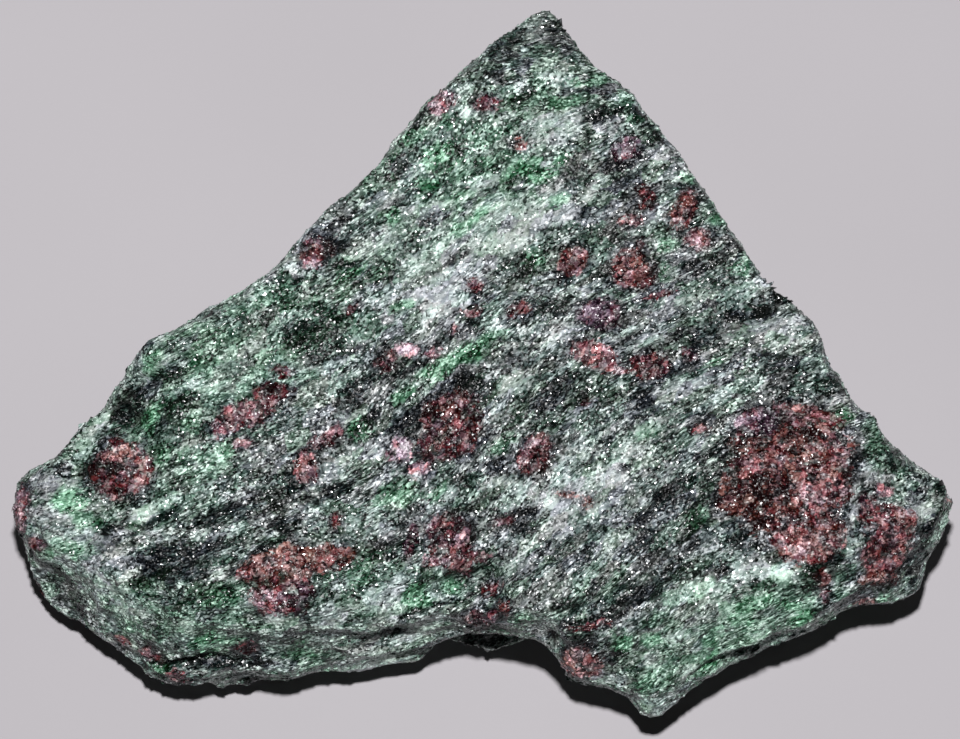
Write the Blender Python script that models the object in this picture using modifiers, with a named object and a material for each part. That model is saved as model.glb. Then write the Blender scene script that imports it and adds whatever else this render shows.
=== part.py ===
"""A hand specimen of eclogite: one broken slab of green foliated rock with red garnets in it.

The slab lies on its broad underside. Seen from above it is roughly a triangle with its tip towards +Y,
a blunt left end towards -X, a thin horn and a notch at the front, and a sharp right end.
All lengths below are in millimetres, and MM turns them into Blender's metres.
"""

import math

import bmesh
import bpy
import numpy as np
from mathutils import Matrix, Vector, kdtree, noise

MM = 0.001

# Driving dimensions
THICKNESS = 14.0  # of the slab at its middle
SPECIMEN_WIDTH = 78.4  # along X, over the whole stone
VOXEL = 0.55  # grid that fuses the slab with its lumps
FACES_KEPT = 9300  # triangles of the finished stone, before its foot is cut flat
FOOT_DEPTH = 0.45  # how much of the lowest bumps the flat foot takes off

# The widest line round the slab, edge by edge, anticlockwise from the tip as seen from above.
# A corner is its x, its y and the height at which the slab is widest there.
# crest is how far in from that line the top face begins, and foot how far in the underside begins.
EDGES = {
    "back_left": {
        "crest": 0.5,
        "foot": 3.0,
        "corners": [
            (5.9, 30.3, 11.0), (4.6, 30.2, 11.0), (2.3, 28.3, 11.5), (-0.3, 26.0, 12.0),
            (-2.8, 23.5, 12.3), (-5.2, 21.3, 12.6), (-5.8, 19.9, 12.7), (-6.8, 19.0, 12.8),
            (-8.6, 16.3, 12.8), (-11.9, 13.6, 12.8), (-13.9, 11.6, 12.8), (-15.9, 9.5, 12.8),
            (-17.4, 7.7, 12.8), (-21.5, 4.8, 12.6), (-24.4, 3.0, 12.6), (-27.4, 1.4, 12.4),
            (-28.9, 0.0, 11.8),
        ],
    },
    "left_shoulder": {
        "crest": 0.7,
        "foot": 2.5,
        "corners": [
            (-29.6, -1.0, 10.8), (-30.4, -2.3, 10.0), (-31.6, -4.4, 9.2), (-33.2, -5.3, 8.8),
            (-34.3, -6.6, 8.4), (-35.6, -7.6, 8.2), (-36.8, -7.9, 8.2), (-38.1, -8.7, 8.0),
            (-38.7, -9.6, 7.8),
        ],
    },
    "left_end": {
        "crest": 2.4,
        "foot": 2.6,
        "corners": [
            (-39.1, -11.8, 7.3), (-38.8, -13.4, 6.5), (-38.2, -14.6, 6.0), (-37.9, -16.1, 5.5),
            (-37.7, -17.1, 5.0), (-36.6, -17.9, 4.6), (-36.0, -18.7, 4.2), (-34.6, -19.4, 4.0),
            (-33.8, -19.7, 4.2),
        ],
    },
    "front_left": {
        "crest": 5.2,
        "foot": 2.2,
        "corners": [
            (-33.0, -21.3, 4.6), (-31.3, -22.4, 4.6), (-30.2, -23.2, 4.6), (-28.8, -24.2, 4.6),
            (-27.5, -25.5, 4.6), (-25.5, -26.2, 4.6), (-23.3, -26.1, 4.6), (-21.9, -25.5, 4.7),
            (-18.7, -25.2, 4.8), (-15.9, -25.5, 4.6),
        ],
    },
    "front": {
        "crest": 3.4,
        "foot": 3.2,
        "corners": [
            (-13.6, -24.9, 4.4), (-11.0, -24.6, 4.4), (-9.1, -24.2, 4.8), (-7.0, -23.5, 5.2),
            (-4.0, -23.1, 5.6), (-2.1, -22.5, 6.5),
        ],
    },
    "notch": {
        "crest": 0.7,
        "foot": 4.0,
        "corners": [
            (-0.6, -22.6, 8.0), (2.1, -22.7, 9.0), (5.0, -23.2, 9.0), (5.9, -24.0, 8.2),
            (6.6, -25.4, 6.6),
        ],
    },
    "horn": {
        "crest": 0.9,
        "foot": 2.4,
        "corners": [
            (7.8, -26.1, 6.2), (9.8, -26.5, 6.0), (11.4, -26.9, 6.0), (12.3, -27.6, 6.0),
            (12.8, -28.7, 6.0), (14.0, -29.3, 6.0), (14.9, -28.9, 6.0), (16.0, -28.0, 6.0),
        ],
    },
    "front_right": {
        "crest": 0.6,
        "foot": 3.0,
        "corners": [
            (18.2, -26.1, 6.0), (22.4, -24.1, 6.4), (24.8, -22.9, 6.5), (27.8, -21.9, 6.5),
            (29.5, -20.6, 6.5), (30.7, -19.8, 6.4), (32.8, -19.5, 6.0), (33.8, -19.7, 5.6),
            (34.9, -18.9, 5.5), (35.3, -17.9, 5.6),
        ],
    },
    "right_end": {
        "crest": 1.6,
        "foot": 3.2,
        "corners": [
            (37.0, -16.1, 6.0), (38.3, -14.2, 6.6), (38.8, -12.8, 7.2), (38.9, -11.6, 8.0),
            (38.7, -10.7, 8.8),
        ],
    },
    "back_right": {
        "crest": 0.5,
        "foot": 2.8,
        "corners": [
            (37.8, -9.5, 9.8), (35.6, -8.1, 10.4), (33.4, -6.0, 10.8), (32.4, -4.6, 11.0),
            (30.9, -3.7, 11.4), (30.1, -1.8, 11.8), (28.7, 0.0, 12.0), (28.1, 1.7, 12.0),
            (27.0, 3.7, 12.4), (25.5, 5.0, 12.5), (23.4, 7.1, 12.5), (21.9, 9.6, 12.5),
            (20.2, 12.1, 12.5), (19.0, 13.9, 12.4), (17.8, 15.7, 12.4), (15.0, 19.6, 12.0),
            (13.8, 20.8, 12.0), (13.0, 22.3, 12.0), (10.7, 24.5, 11.8), (9.2, 25.7, 11.5),
            (7.3, 28.4, 11.0),
        ],
    },
}
MIDDLE = Vector((1.6, -5.0))  # every corner can be seen from here, so the rings shrink towards it
INSET_BLUR = 4  # corners over which one edge's insets run into the next's

# Broken faces that fall away from the top: a point where the fall begins, its direction and its slope
FALLS = {
    "left_lobe": ((-25.5, -8.0), (-1.0, -0.15), 0.32),
    "tip": ((3.0, 20.5), (0.1, 1.0), 0.26),
    "right_end": ((31.0, -10.0), (1.0, -0.1), 0.42),
    "horn_face": ((10.0, -21.3), (0.25, -0.97), 0.74),
    "front_roll": ((-18.0, -20.8), (-0.1, -1.0), 0.35),
}

# Broad swells and hollows of the top: x, y, radius along the streaks, radius across them, height
SWELLS = {
    "shoulder_bulge": (-25.5, -0.8, 5.0, 3.0, 1.1),
    "shoulder_drop": (-29.0, -5.0, 3.8, 2.6, -1.3),
    "left_end_knob": (-36.0, -13.0, 3.4, 3.4, 0.8),
    "left_lobe_hollow": (-31.0, -12.5, 3.0, 4.0, -0.5),
    "dark_lens_hollow": (-25.0, -17.0, 5.0, 2.2, -0.7),
    "front_left_swell": (-17.0, -19.0, 8.0, 2.6, 0.6),
    "middle_trough": (-12.5, 1.5, 8.0, 2.2, -0.7),
    "middle_rib": (-3.0, -0.5, 12.0, 2.0, 0.5),
    "pale_swell": (3.5, 10.0, 9.0, 3.5, 0.6),
    "tip_trough": (8.5, 17.0, 6.0, 2.2, -0.5),
    "garnet_pit": (-2.5, -4.6, 3.6, 2.6, -0.6),
    "front_scoop": (-2.6, -20.9, 4.6, 1.3, -1.8),
    "right_rib": (20.0, 1.5, 9.0, 1.8, 0.6),
    "right_trough": (22.5, 4.5, 7.0, 1.4, -0.7),
    "great_garnet": (25.8, -9.8, 6.0, 5.2, 0.8),
    "vein_groove": (32.0, -13.0, 1.2, 4.0, -0.5),
    "horn_trough": (15.5, -17.5, 9.0, 1.6, -0.8),
    "horn_rib": (20.5, -21.5, 8.0, 1.8, 0.7),
}

# Lumps that stand out of the sides: x, y, z, the three radii and the turn about Z in degrees
LUMPS = {
    "ledge_under_notch": (1.3, -20.6, 2.6, 4.2, 2.6, 1.5, 3),
    "left_lower_lobe": (-34.6, -18.0, 2.8, 3.6, 2.2, 2.0, -42),
    "notch_garnet": (8.4, -24.6, 6.6, 1.9, 1.5, 1.9, 10),
    "right_tip_garnet": (38.7, -11.2, 8.1, 0.8, 0.8, 0.9, 0),
    "front_left_ledge": (-23.0, -24.5, 3.0, 5.0, 1.1, 1.4, -2),
    "front_mid_ledge": (-9.0, -23.5, 3.6, 5.0, 1.2, 1.1, 8),
    "right_end_garnets": (35.0, -17.0, 6.6, 2.4, 1.8, 2.0, 50),
}

# Open cracks in the top and the front, each through the points of its path
CRACKS = {
    "front_left_seam": {
        "half_width": 0.6,
        "depth": 1.3,
        "path": [(-30.3, -22.6), (-27.5, -24.2), (-23.3, -24.9), (-18.3, -24.6), (-15.0, -24.2)],
    },
    "front_step": {
        "half_width": 0.6,
        "depth": 1.3,
        "path": [(-12.0, -23.0), (-9.0, -22.4), (-6.5, -21.0), (-3.5, -19.8), (-0.5, -18.9), (1.5, -17.6)],
    },
    "lens_crack": {
        "half_width": 0.4,
        "depth": 0.5,
        "path": [(-29.0, -17.0), (-27.5, -19.0), (-25.0, -20.0), (-20.5, -20.0), (-16.0, -19.2)],
    },
    "notch_crack": {
        "half_width": 0.5,
        "depth": 0.9,
        "path": [(0.5, -19.0), (2.0, -20.6), (4.5, -22.2), (8.0, -21.4), (12.0, -19.6)],
    },
    "shoulder_crack": {
        "half_width": 0.5,
        "depth": 0.8,
        "path": [(-30.5, -3.0), (-28.5, -2.4), (-26.0, -2.4), (-23.5, -1.0)],
    },
    "left_end_crack": {
        "half_width": 0.45,
        "depth": 0.7,
        "path": [(-37.5, -16.0), (-35.0, -17.2), (-33.2, -16.6), (-32.8, -14.5)],
    },
}

# Garnets large enough to change the relief: x, y and radius
GARNETS = {
    "left_lobe": (-30.0, -8.0, 2.7),
    "centre": (-2.4, -4.3, 3.1),
    "centre_right": (4.6, -7.2, 1.7),
    "shoulder": (-20.9, -4.3, 1.5),
    "upper_left": (-13.7, 9.9, 1.5),
    "middle": (-7.0, 1.1, 1.7),
    "upper_right_round": (13.0, 8.2, 1.8),
    "upper_right_pale": (7.8, 8.5, 1.5),
    "edge_pair_high": (16.7, 12.8, 1.5),
    "edge_pair_low": (18.5, 10.7, 1.3),
    "right_of_centre": (10.0, 1.0, 1.8),
    "right_dark": (14.1, -0.1, 1.5),
    "front": (-17.0, -17.4, 2.6),
    "front_middle": (-2.2, -13.9, 2.2),
    "great_high": (26.5, -7.0, 2.6),
    "great_left": (22.6, -10.0, 2.4),
    "great_right": (28.6, -10.5, 2.4),
    "great_low": (25.6, -13.2, 2.4),
    "right_cluster": (34.2, -13.2, 2.3),
}

# The rock's fine structure
STREAK_ANGLE = math.radians(28)  # the streaks on the top face rise to the right by this much
STREAK_STRETCH = 2.6  # a ledge is this many times longer along the streaks than across them
UNDULATION = (17.0, 0.5)  # wavelength and height
LEDGES = (4.6, 1.1)  # spacing across the streaks and height of the small steps between layers
GRAIN = (2.1, 0.2)  # size and height of the lumpy grain
LAYERS = (1.9, 9.0, 0.8)  # of the sides: thickness, length and how far they stand in or out
CHIPS = (5.5, 0.8)  # size and depth of the flat chips broken from the sides
CHIP_TILT = 1.6  # slope of a chip's floor, as a share of its depth
UNDERSIDE = (11.0, 0.7)  # wavelength and height of the underside's bumps
BEARING_BUMPS = [(-26.0, -11.5), (25.0, -9.5), (4.5, 16.5), (9.0, -21.0)]  # what the stone rests on
BEARING_SIZE = (5.0, 1.3)  # radius and height of those bumps
GARNET_RISE = 0.38  # how far a garnet stands out of the top
GARNET_GROOVE = 0.19  # depth of the groove round a garnet
RIM_KEEP = 0.3  # share of the sideways relief that is left on the widest line
RIM_REACH = 2.5  # how far from that line the relief is whole again
TREADS = 3  # steps that the layers' noise is cut into

# How steeply a point's normal rises or falls, from where the top's or the underside's relief begins
# to where it is whole
TOP_FACING = (0.35, 0.8)
UNDER_FACING = (0.5, 0.85)


def clear_scene():
    for obj in list(bpy.data.objects):
        bpy.data.objects.remove(obj, do_unlink=True)


def smooth_step(low, high, value):
    """0 below low, 1 above high, and an even rise between them."""
    share = min(1.0, max(0.0, (value - low) / (high - low)))
    return share * share * (3 - 2 * share)


def along_and_across(x, y):
    """A point's place along the streaks and across them."""
    cos, sin = math.cos(STREAK_ANGLE), math.sin(STREAK_ANGLE)
    return x * cos + y * sin, y * cos - x * sin


def distance_to_path(x, y, path):
    """The shortest distance in plan from a point to a line through the path's points."""
    point = Vector((x, y))
    best = math.inf
    for start, end in zip(path, path[1:]):
        a, b = Vector(start), Vector(end)
        share = max(0.0, min(1.0, (point - a).dot(b - a) / (b - a).length_squared))
        best = min(best, (point - a.lerp(b, share)).length)
    return best


def top_height(x, y):
    """The height of the slab's top face, before its fine structure."""
    height = THICKNESS
    for (px, py), direction, slope in FALLS.values():
        beyond = (Vector((x, y)) - Vector((px, py))).dot(Vector(direction).normalized())
        height -= slope * max(0.0, beyond)
    for sx, sy, along, across, rise in SWELLS.values():
        u, v = along_and_across(x - sx, y - sy)
        height += rise * math.exp(-((u / along) ** 2) - (v / across) ** 2)
    return height


def outline():
    """The corners round the slab: place, widest height, crest inset and foot inset, the insets blurred."""
    corners, insets = [], []
    for edge in EDGES.values():
        for x, y, height in edge["corners"]:
            corners.append((Vector((x, y)), height))
            insets.append((edge["crest"], edge["foot"]))
    count = len(corners)
    made = []
    for i, (place, height) in enumerate(corners):
        near = [insets[(i + step) % count] for step in range(-INSET_BLUR, INSET_BLUR + 1)]
        crest, foot = np.mean(near, axis=0)
        made.append((place, height, crest, foot))
    return made


def inward(corners, i):
    """The direction in plan from corner i into the slab."""
    before, after = corners[i - 1][0], corners[(i + 1) % len(corners)][0]
    run = (after - before).normalized()
    return Vector((-run.y, run.x))


def side_rings(corners):
    """The rings of the slab's side, from its foot up to its crest."""
    rings = []
    for share in (0.0, 0.3, 0.65, 1.0):
        ring = []
        for i, (place, height, _, foot) in enumerate(corners):
            at = place + inward(corners, i) * foot * (1 - share) ** 1.5
            ring.append((at.x, at.y, height * share))
        rings.append(ring)
    for share in (0.35, 0.7, 1.0):
        ring = []
        for i, (place, height, crest, _) in enumerate(corners):
            at = place + inward(corners, i) * crest * share**1.6
            top = max(top_height(at.x, at.y), height + 0.4)
            ring.append((at.x, at.y, height + (top - height) * share))
        rings.append(ring)
    return rings


def shrunk(ring, share, height_at):
    """A ring drawn in towards MIDDLE, with new heights."""
    made = []
    for x, y, _ in ring:
        at = MIDDLE.lerp(Vector((x, y)), share)
        made.append((at.x, at.y, height_at(at.x, at.y)))
    return made


def loft(mesh, rings):
    """Joins rings that have the same number of corners, and closes both ends with a fan."""
    levels = [[mesh.verts.new(Vector(p) * MM) for p in ring] for ring in rings]
    count = len(levels[0])
    for low, high in zip(levels, levels[1:]):
        for i in range(count):
            j = (i + 1) % count
            mesh.faces.new((low[i], low[j], high[j], high[i]))
    for level, flip in ((levels[0], True), (levels[-1], False)):
        centre = sum((v.co for v in level), Vector()) / count
        hub = mesh.verts.new(centre)
        for i in range(count):
            corner = (level[i], level[(i + 1) % count], hub)
            mesh.faces.new(corner[::-1] if flip else corner)


def slab_cage():
    """The slab as a loft from the middle of its underside, up its sides and over its top face."""
    corners = outline()
    sides = side_rings(corners)
    under = [shrunk(sides[0], share, lambda x, y: 0.0) for share in (0.15, 0.5, 0.8)]
    top = [shrunk(sides[-1], share, top_height) for share in np.linspace(0.94, 0.04, 15)]
    mesh = bmesh.new()
    loft(mesh, under + sides + top)
    return mesh


def add_lumps(mesh):
    """Adds each side lump as a ball of its own, for the voxels to fuse."""
    for x, y, z, rx, ry, rz, turn in LUMPS.values():
        place = Matrix.Translation(Vector((x, y, z)) * MM)
        shape = Matrix.Diagonal((rx * MM, ry * MM, rz * MM, 1.0))
        matrix = place @ Matrix.Rotation(math.radians(turn), 4, "Z") @ shape
        bmesh.ops.create_icosphere(mesh, subdivisions=3, radius=1.0, matrix=matrix)


def fused(name, mesh):
    """The shapes in mesh as one even skin."""
    data = bpy.data.meshes.new(name)
    bmesh.ops.recalc_face_normals(mesh, faces=mesh.faces)
    mesh.to_mesh(data)
    mesh.free()
    source = bpy.data.objects.new(name, data)
    bpy.context.scene.collection.objects.link(source)
    remesh = source.modifiers.new("Voxels", "REMESH")
    remesh.mode = "VOXEL"
    remesh.voxel_size = VOXEL * MM
    smooth = source.modifiers.new("Smooth", "SMOOTH")
    smooth.factor = 0.5
    smooth.iterations = 2
    graph = bpy.context.evaluated_depsgraph_get()
    skin = bpy.data.meshes.new_from_object(source.evaluated_get(graph))
    bpy.data.objects.remove(source, do_unlink=True)
    return skin


def stairs(value):
    """Turns an even slope into treads with steep risers between them."""
    level = math.floor(value * TREADS)
    return (level + smooth_step(0.62, 1.0, value * TREADS - level)) / TREADS


def lumpy(x, y, z):
    """The lumpy grain of a broken face."""
    size, lump = GRAIN
    return lump * noise.fractal(Vector((x, y, z)) / size, 0.7, 2.1, 3)


def top_relief(x, y, z):
    """Small ledges between the layers, lumpy grain, cracks and the garnets."""
    u, v = along_and_across(x, y)
    spacing, ledge = LEDGES
    layered = noise.noise(Vector((u / STREAK_STRETCH, v, z)) / spacing)
    relief = ledge * stairs(layered)
    relief += lumpy(u / 1.8, v, z)
    for gx, gy, radius in GARNETS.values():
        share = math.hypot(x - gx, y - gy) / radius
        relief += GARNET_RISE * (1 - smooth_step(0.55, 1.05, share))
        relief -= GARNET_GROOVE * math.exp(-(((share - 1.15) / 0.16) ** 2))
    for crack in CRACKS.values():
        away = distance_to_path(x, y, crack["path"]) / crack["half_width"]
        relief -= crack["depth"] * math.exp(-(away**2))
    return relief


def chip(place):
    """Flat chips between about -1 and 1, each at its own tilt and depth, that meet in narrow slopes."""
    distances, points = noise.voronoi(place)
    heights = []
    for point in points[:2]:
        tilt = noise.noise_vector(point * 7.3)
        heights.append(CHIP_TILT * (place - point).dot(tilt) + 0.6 * noise.noise(point * 5.1))
    share = 0.5 + 0.5 * smooth_step(0.0, 0.35, distances[1] - distances[0])
    return heights[0] * share + heights[1] * (1 - share)


def side_relief(x, y, z):
    """Layers that stand in and out, and chips with flat floors."""
    thickness, length, reach = LAYERS
    size, depth = CHIPS
    u, v = along_and_across(x, y)
    layer = noise.noise(Vector((u / length, v / length, z / thickness + u / (1.6 * length))))
    relief = reach * stairs(layer)
    relief += depth * chip(Vector((x, y, z * 1.3)) / size)
    return relief + 1.4 * lumpy(x, y, z)


def under_relief(x, y, z):
    """The underside's bumps and hollows."""
    wavelength, height = UNDERSIDE
    relief = height * noise.noise(Vector((x / wavelength, y / wavelength, 4.7)))
    relief += 0.5 * height * noise.noise(Vector((x * 2.4 / wavelength, y * 3.4 / wavelength, 9.1)))
    return relief + lumpy(x, y, z)


def bearing(x, y):
    """1 on the middle of a bump that the stone rests on, and 0 well away from them all."""
    radius = BEARING_SIZE[0]
    return max(math.exp(-((x - bx) ** 2 + (y - by) ** 2) / radius**2) for bx, by in BEARING_BUMPS)


def rim_tree():
    """Points close together along the widest line, in a tree that finds the nearest one."""
    corners = outline()
    points = []
    for i, (place, height, _, _) in enumerate(corners):
        before, height_before = corners[i - 1][:2]
        start, end = Vector((*before, height_before)), Vector((*place, height))
        steps = max(1, round((end - start).length / VOXEL))
        points += [start.lerp(end, step / steps) for step in range(steps)]
    tree = kdtree.KDTree(len(points))
    for i, point in enumerate(points):
        tree.insert(point, i)
    tree.balance()
    return tree


def undulation(x, y, z):
    wavelength, height = UNDULATION
    return height * noise.noise(Vector((x, y, z)) / wavelength)


def roughen(skin):
    """Moves each point of the skin along its normal, by the relief of the face that it lies on.

    Near the widest line the move is mostly up or down, so that the slab keeps its outline.
    """
    moved = []
    rim = rim_tree()
    for vertex in skin.vertices:
        x, y, z = vertex.co / MM
        up = vertex.normal.z
        top = smooth_step(*TOP_FACING, up)
        under = smooth_step(*UNDER_FACING, -up)
        side = 1 - top - under
        relief = undulation(x, y, z)
        if top > 0:
            relief += top * top_relief(x, y, z)
        if side > 0:
            relief += side * side_relief(x, y, z)
        if under > 0:
            relief += under * under_relief(x, y, z)
            relief += under * bearing(x, y) * (BEARING_SIZE[1] - relief)
        distance = rim.find(Vector((x, y, z)))[2]
        keep = RIM_KEEP + (1 - RIM_KEEP) * smooth_step(0.0, RIM_REACH, distance)
        move = vertex.normal * relief * MM
        moved.append(vertex.co + Vector((move.x * keep, move.y * keep, move.z)))
    skin.vertices.foreach_set("co", np.array(moved, np.float32).ravel())
    skin.update()


def set_on_origin(skin):
    """Centres the stone over the origin at its real width, with its lowest bumps FOOT_DEPTH below Z = 0."""
    points = np.empty(len(skin.vertices) * 3, np.float32)
    skin.vertices.foreach_get("co", points)
    points = points.reshape(-1, 3)
    low, high = points.min(axis=0), points.max(axis=0)
    points -= (low + high) / 2 * (1, 1, 0)
    points[:, 2] -= low[2] + FOOT_DEPTH * MM
    points[:, :2] *= SPECIMEN_WIDTH * MM / (high[0] - low[0])
    skin.vertices.foreach_set("co", points.ravel())
    skin.update()


def rock_material():
    material = bpy.data.materials.new("green_rock")
    material.use_nodes = True
    shader = material.node_tree.nodes["Principled BSDF"]
    shader.inputs["Base Color"].default_value = (0.10, 0.16, 0.12, 1.0)
    shader.inputs["Roughness"].default_value = 0.55
    shader.inputs["Metallic"].default_value = 0.0
    return material


def foot_cutter(cutters):
    """A block whose top face is the surface that the stone stands on."""
    size = 2 * SPECIMEN_WIDTH * MM
    bpy.ops.mesh.primitive_cube_add(size=size, location=(0, 0, -size / 2))
    block = bpy.context.object
    block.name = "foot_cutter"
    block.display_type = "WIRE"
    block.hide_render = True
    for collection in list(block.users_collection):
        collection.objects.unlink(block)
    cutters.objects.link(block)
    return block


def finish_stone(skin, collection, cutter):
    """The stone as an object, thinned to its final faces and cut flat underneath."""
    stone = bpy.data.objects.new("eclogite", skin)
    collection.objects.link(stone)
    skin.materials.clear()
    skin.materials.append(rock_material())
    thin = stone.modifiers.new("Thin", "DECIMATE")
    thin.use_collapse_triangulate = True
    thin.ratio = FACES_KEPT / (2 * len(skin.polygons))
    cut = stone.modifiers.new("Foot", "BOOLEAN")
    cut.operation = "DIFFERENCE"
    cut.object = cutter
    return stone


def main():
    clear_scene()
    parts = bpy.data.collections.new("eclogite")
    cutters = bpy.data.collections.new("cutters")
    for collection in (parts, cutters):
        bpy.context.scene.collection.children.link(collection)
    cage = slab_cage()
    add_lumps(cage)
    skin = fused("eclogite", cage)
    roughen(skin)
    set_on_origin(skin)
    finish_stone(skin, parts, foot_cutter(cutters))


main()
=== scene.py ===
"""A hand specimen of eclogite: red garnets in a streaky green matrix, on a pale floor."""
import math

import bpy
import numpy as np
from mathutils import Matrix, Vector
from mathutils.bvhtree import BVHTree


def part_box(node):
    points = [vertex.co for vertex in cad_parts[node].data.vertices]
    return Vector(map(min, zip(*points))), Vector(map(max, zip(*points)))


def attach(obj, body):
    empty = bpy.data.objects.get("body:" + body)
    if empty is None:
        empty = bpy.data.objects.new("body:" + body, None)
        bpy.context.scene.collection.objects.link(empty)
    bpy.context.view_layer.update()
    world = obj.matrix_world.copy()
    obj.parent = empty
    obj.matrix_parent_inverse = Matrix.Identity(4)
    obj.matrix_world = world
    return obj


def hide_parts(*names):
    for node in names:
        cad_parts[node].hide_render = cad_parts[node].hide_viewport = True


# Lengths here are in millimetres, in the frame's own axes, and MM turns them into metres
MM = 0.001

# The camera looks down from the front, as close as the photograph's
VIEW_TARGET = (-0.35, -0.70, 8.85)
VIEW_ELEVATION = 78.0
VIEW_DISTANCE = 400.0
LENS = 180.0
SENSOR = 36.0

# The lamp beside the camera, the low soft lights around and the even light from everywhere
KEY_PLACE = (0.0, 9.0, 425.0)
KEY_TARGET = (3.0, -8.0, 0.0)
KEY_RADIUS = 11.0
KEY_CONE = 110.0
KEY_POWER = 11.6
KEY_COLOUR = (1.0, 0.99, 1.0)
LOW_AZIMUTHS = (60, 90, 120, 235, 305)
LOW_ELEVATION = 22.0
LOW_DISTANCE = 450.0
LOW_SIZE = 260.0
LOW_POWER = 0.03
STUDIO_LIGHT = 0.004
STUDIO_COLOUR = (0.93, 0.93, 0.95, 1.0)

# The floor's width, and its colours as display colours
FLOOR_SIZE = 3000.0
FLOOR_GREYS = [(0.3, (152, 149, 152)), (0.7, (157, 154, 157))]

# The skin carries the relief, and the grains on it reach the solid's surface
SKIN_VOXEL = 0.335
SKIN_INSET = 0.16
SKIN_DEEPEST = -0.8
BOX_MARGIN = 0.02

# The relief of the skin: broad lumps, a splintery and a rounder roughness, and the garnets' own knobs
LUMPS = 0.17
SPLINTERS = 0.09
ROUGHNESS = 0.09
GARNET_KNOBS = 0.12

# Grains for each square millimetre of skin, on the face that shows and on the rest
TOP_GRAINS = 9.5
SIDE_GRAINS = 7.0
UNDER_GRAINS = 4.5

# Garnet grains, broad cleavage faces, blades and plain grains, in this order: how long and wide they
# are, how far they stand up, and how much their heading, pitch and roll stray, in radians
GARNET_GRAIN, FLAKE, BLADE, PLAIN_GRAIN = range(4)
GRAIN_LENGTH = np.array([0.38, 0.80, 0.82, 0.38])
GRAIN_WIDTH = np.array([0.33, 0.36, 0.18, 0.29])
GRAIN_HEIGHT = np.array([0.10, 0.05, 0.07, 0.07])
GRAIN_HEADING = np.array([1.5, 0.25, 0.13, 0.55])
GRAIN_PITCH = np.array([0.28, 0.12, 0.07, 0.20])
GRAIN_ROLL = np.array([0.30, 0.12, 0.35, 0.28])
GRAIN_SINK = 0.10

# The share of garnet grains and of blades that are polished, and how polished they are
POLISHED_GARNETS = 0.12
GARNET_POLISH = 0.2
POLISHED_BLADES = 0.3
BLADE_POLISH = 0.5

# The share of grains that are broad bright cleavage faces, that of blades, and what fibrous rock adds
FLAKE_SHARE = 0.04
BLADE_SHARE = 0.22
FIBROUS_BLADES = 0.68

# Each piece of grains has a square map, with a cell for each grain
MAP_CELLS = 144
CELL_MARGIN = 0.12
GRAINS_IN_A_PIECE = MAP_CELLS ** 2

# Streak directions read across the face: x, y and the degrees from +X towards +Y
STREAKS = {
    "tip": (5.0, 23.0, 8),
    "below the tip": (0.0, 19.0, 52),
    "tip right": (9.0, 18.0, 30),
    "upper left edge": (-9.0, 13.0, 38),
    "pale band": (3.5, 12.0, 28),
    "high right": (12.0, 9.0, 34),
    "left shoulder": (-19.0, 4.0, 36),
    "centre left": (-9.0, 2.0, 24),
    "centre": (2.0, 0.0, 30),
    "right shoulder": (15.0, 1.5, 20),
    "right edge": (24.0, 2.5, 17),
    "left middle": (-17.0, -4.0, 14),
    "left lobe": (-31.0, -15.0, 5),
    "left hollow": (-25.0, -10.0, 22),
    "left front": (-20.0, -14.0, 20),
    "heart": (-3.5, -7.0, 42),
    "right of heart": (6.0, -9.0, 38),
    "dark band": (16.0, -13.0, 45),
    "great garnet": (25.0, -10.0, 32),
    "right tip": (34.0, -12.0, 30),
    "front": (-14.0, -20.0, 18),
    "step": (-4.0, -21.0, 30),
    "front notch": (9.0, -20.0, 42),
    "horn": (15.0, -24.0, 48),
    "right front": (24.0, -20.0, 24),
}
STREAK_BLEND = 5.0

# The flat grid on which the streaks are followed
GRID_REACH = 64.0
GRID_STEP = 0.5

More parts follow.
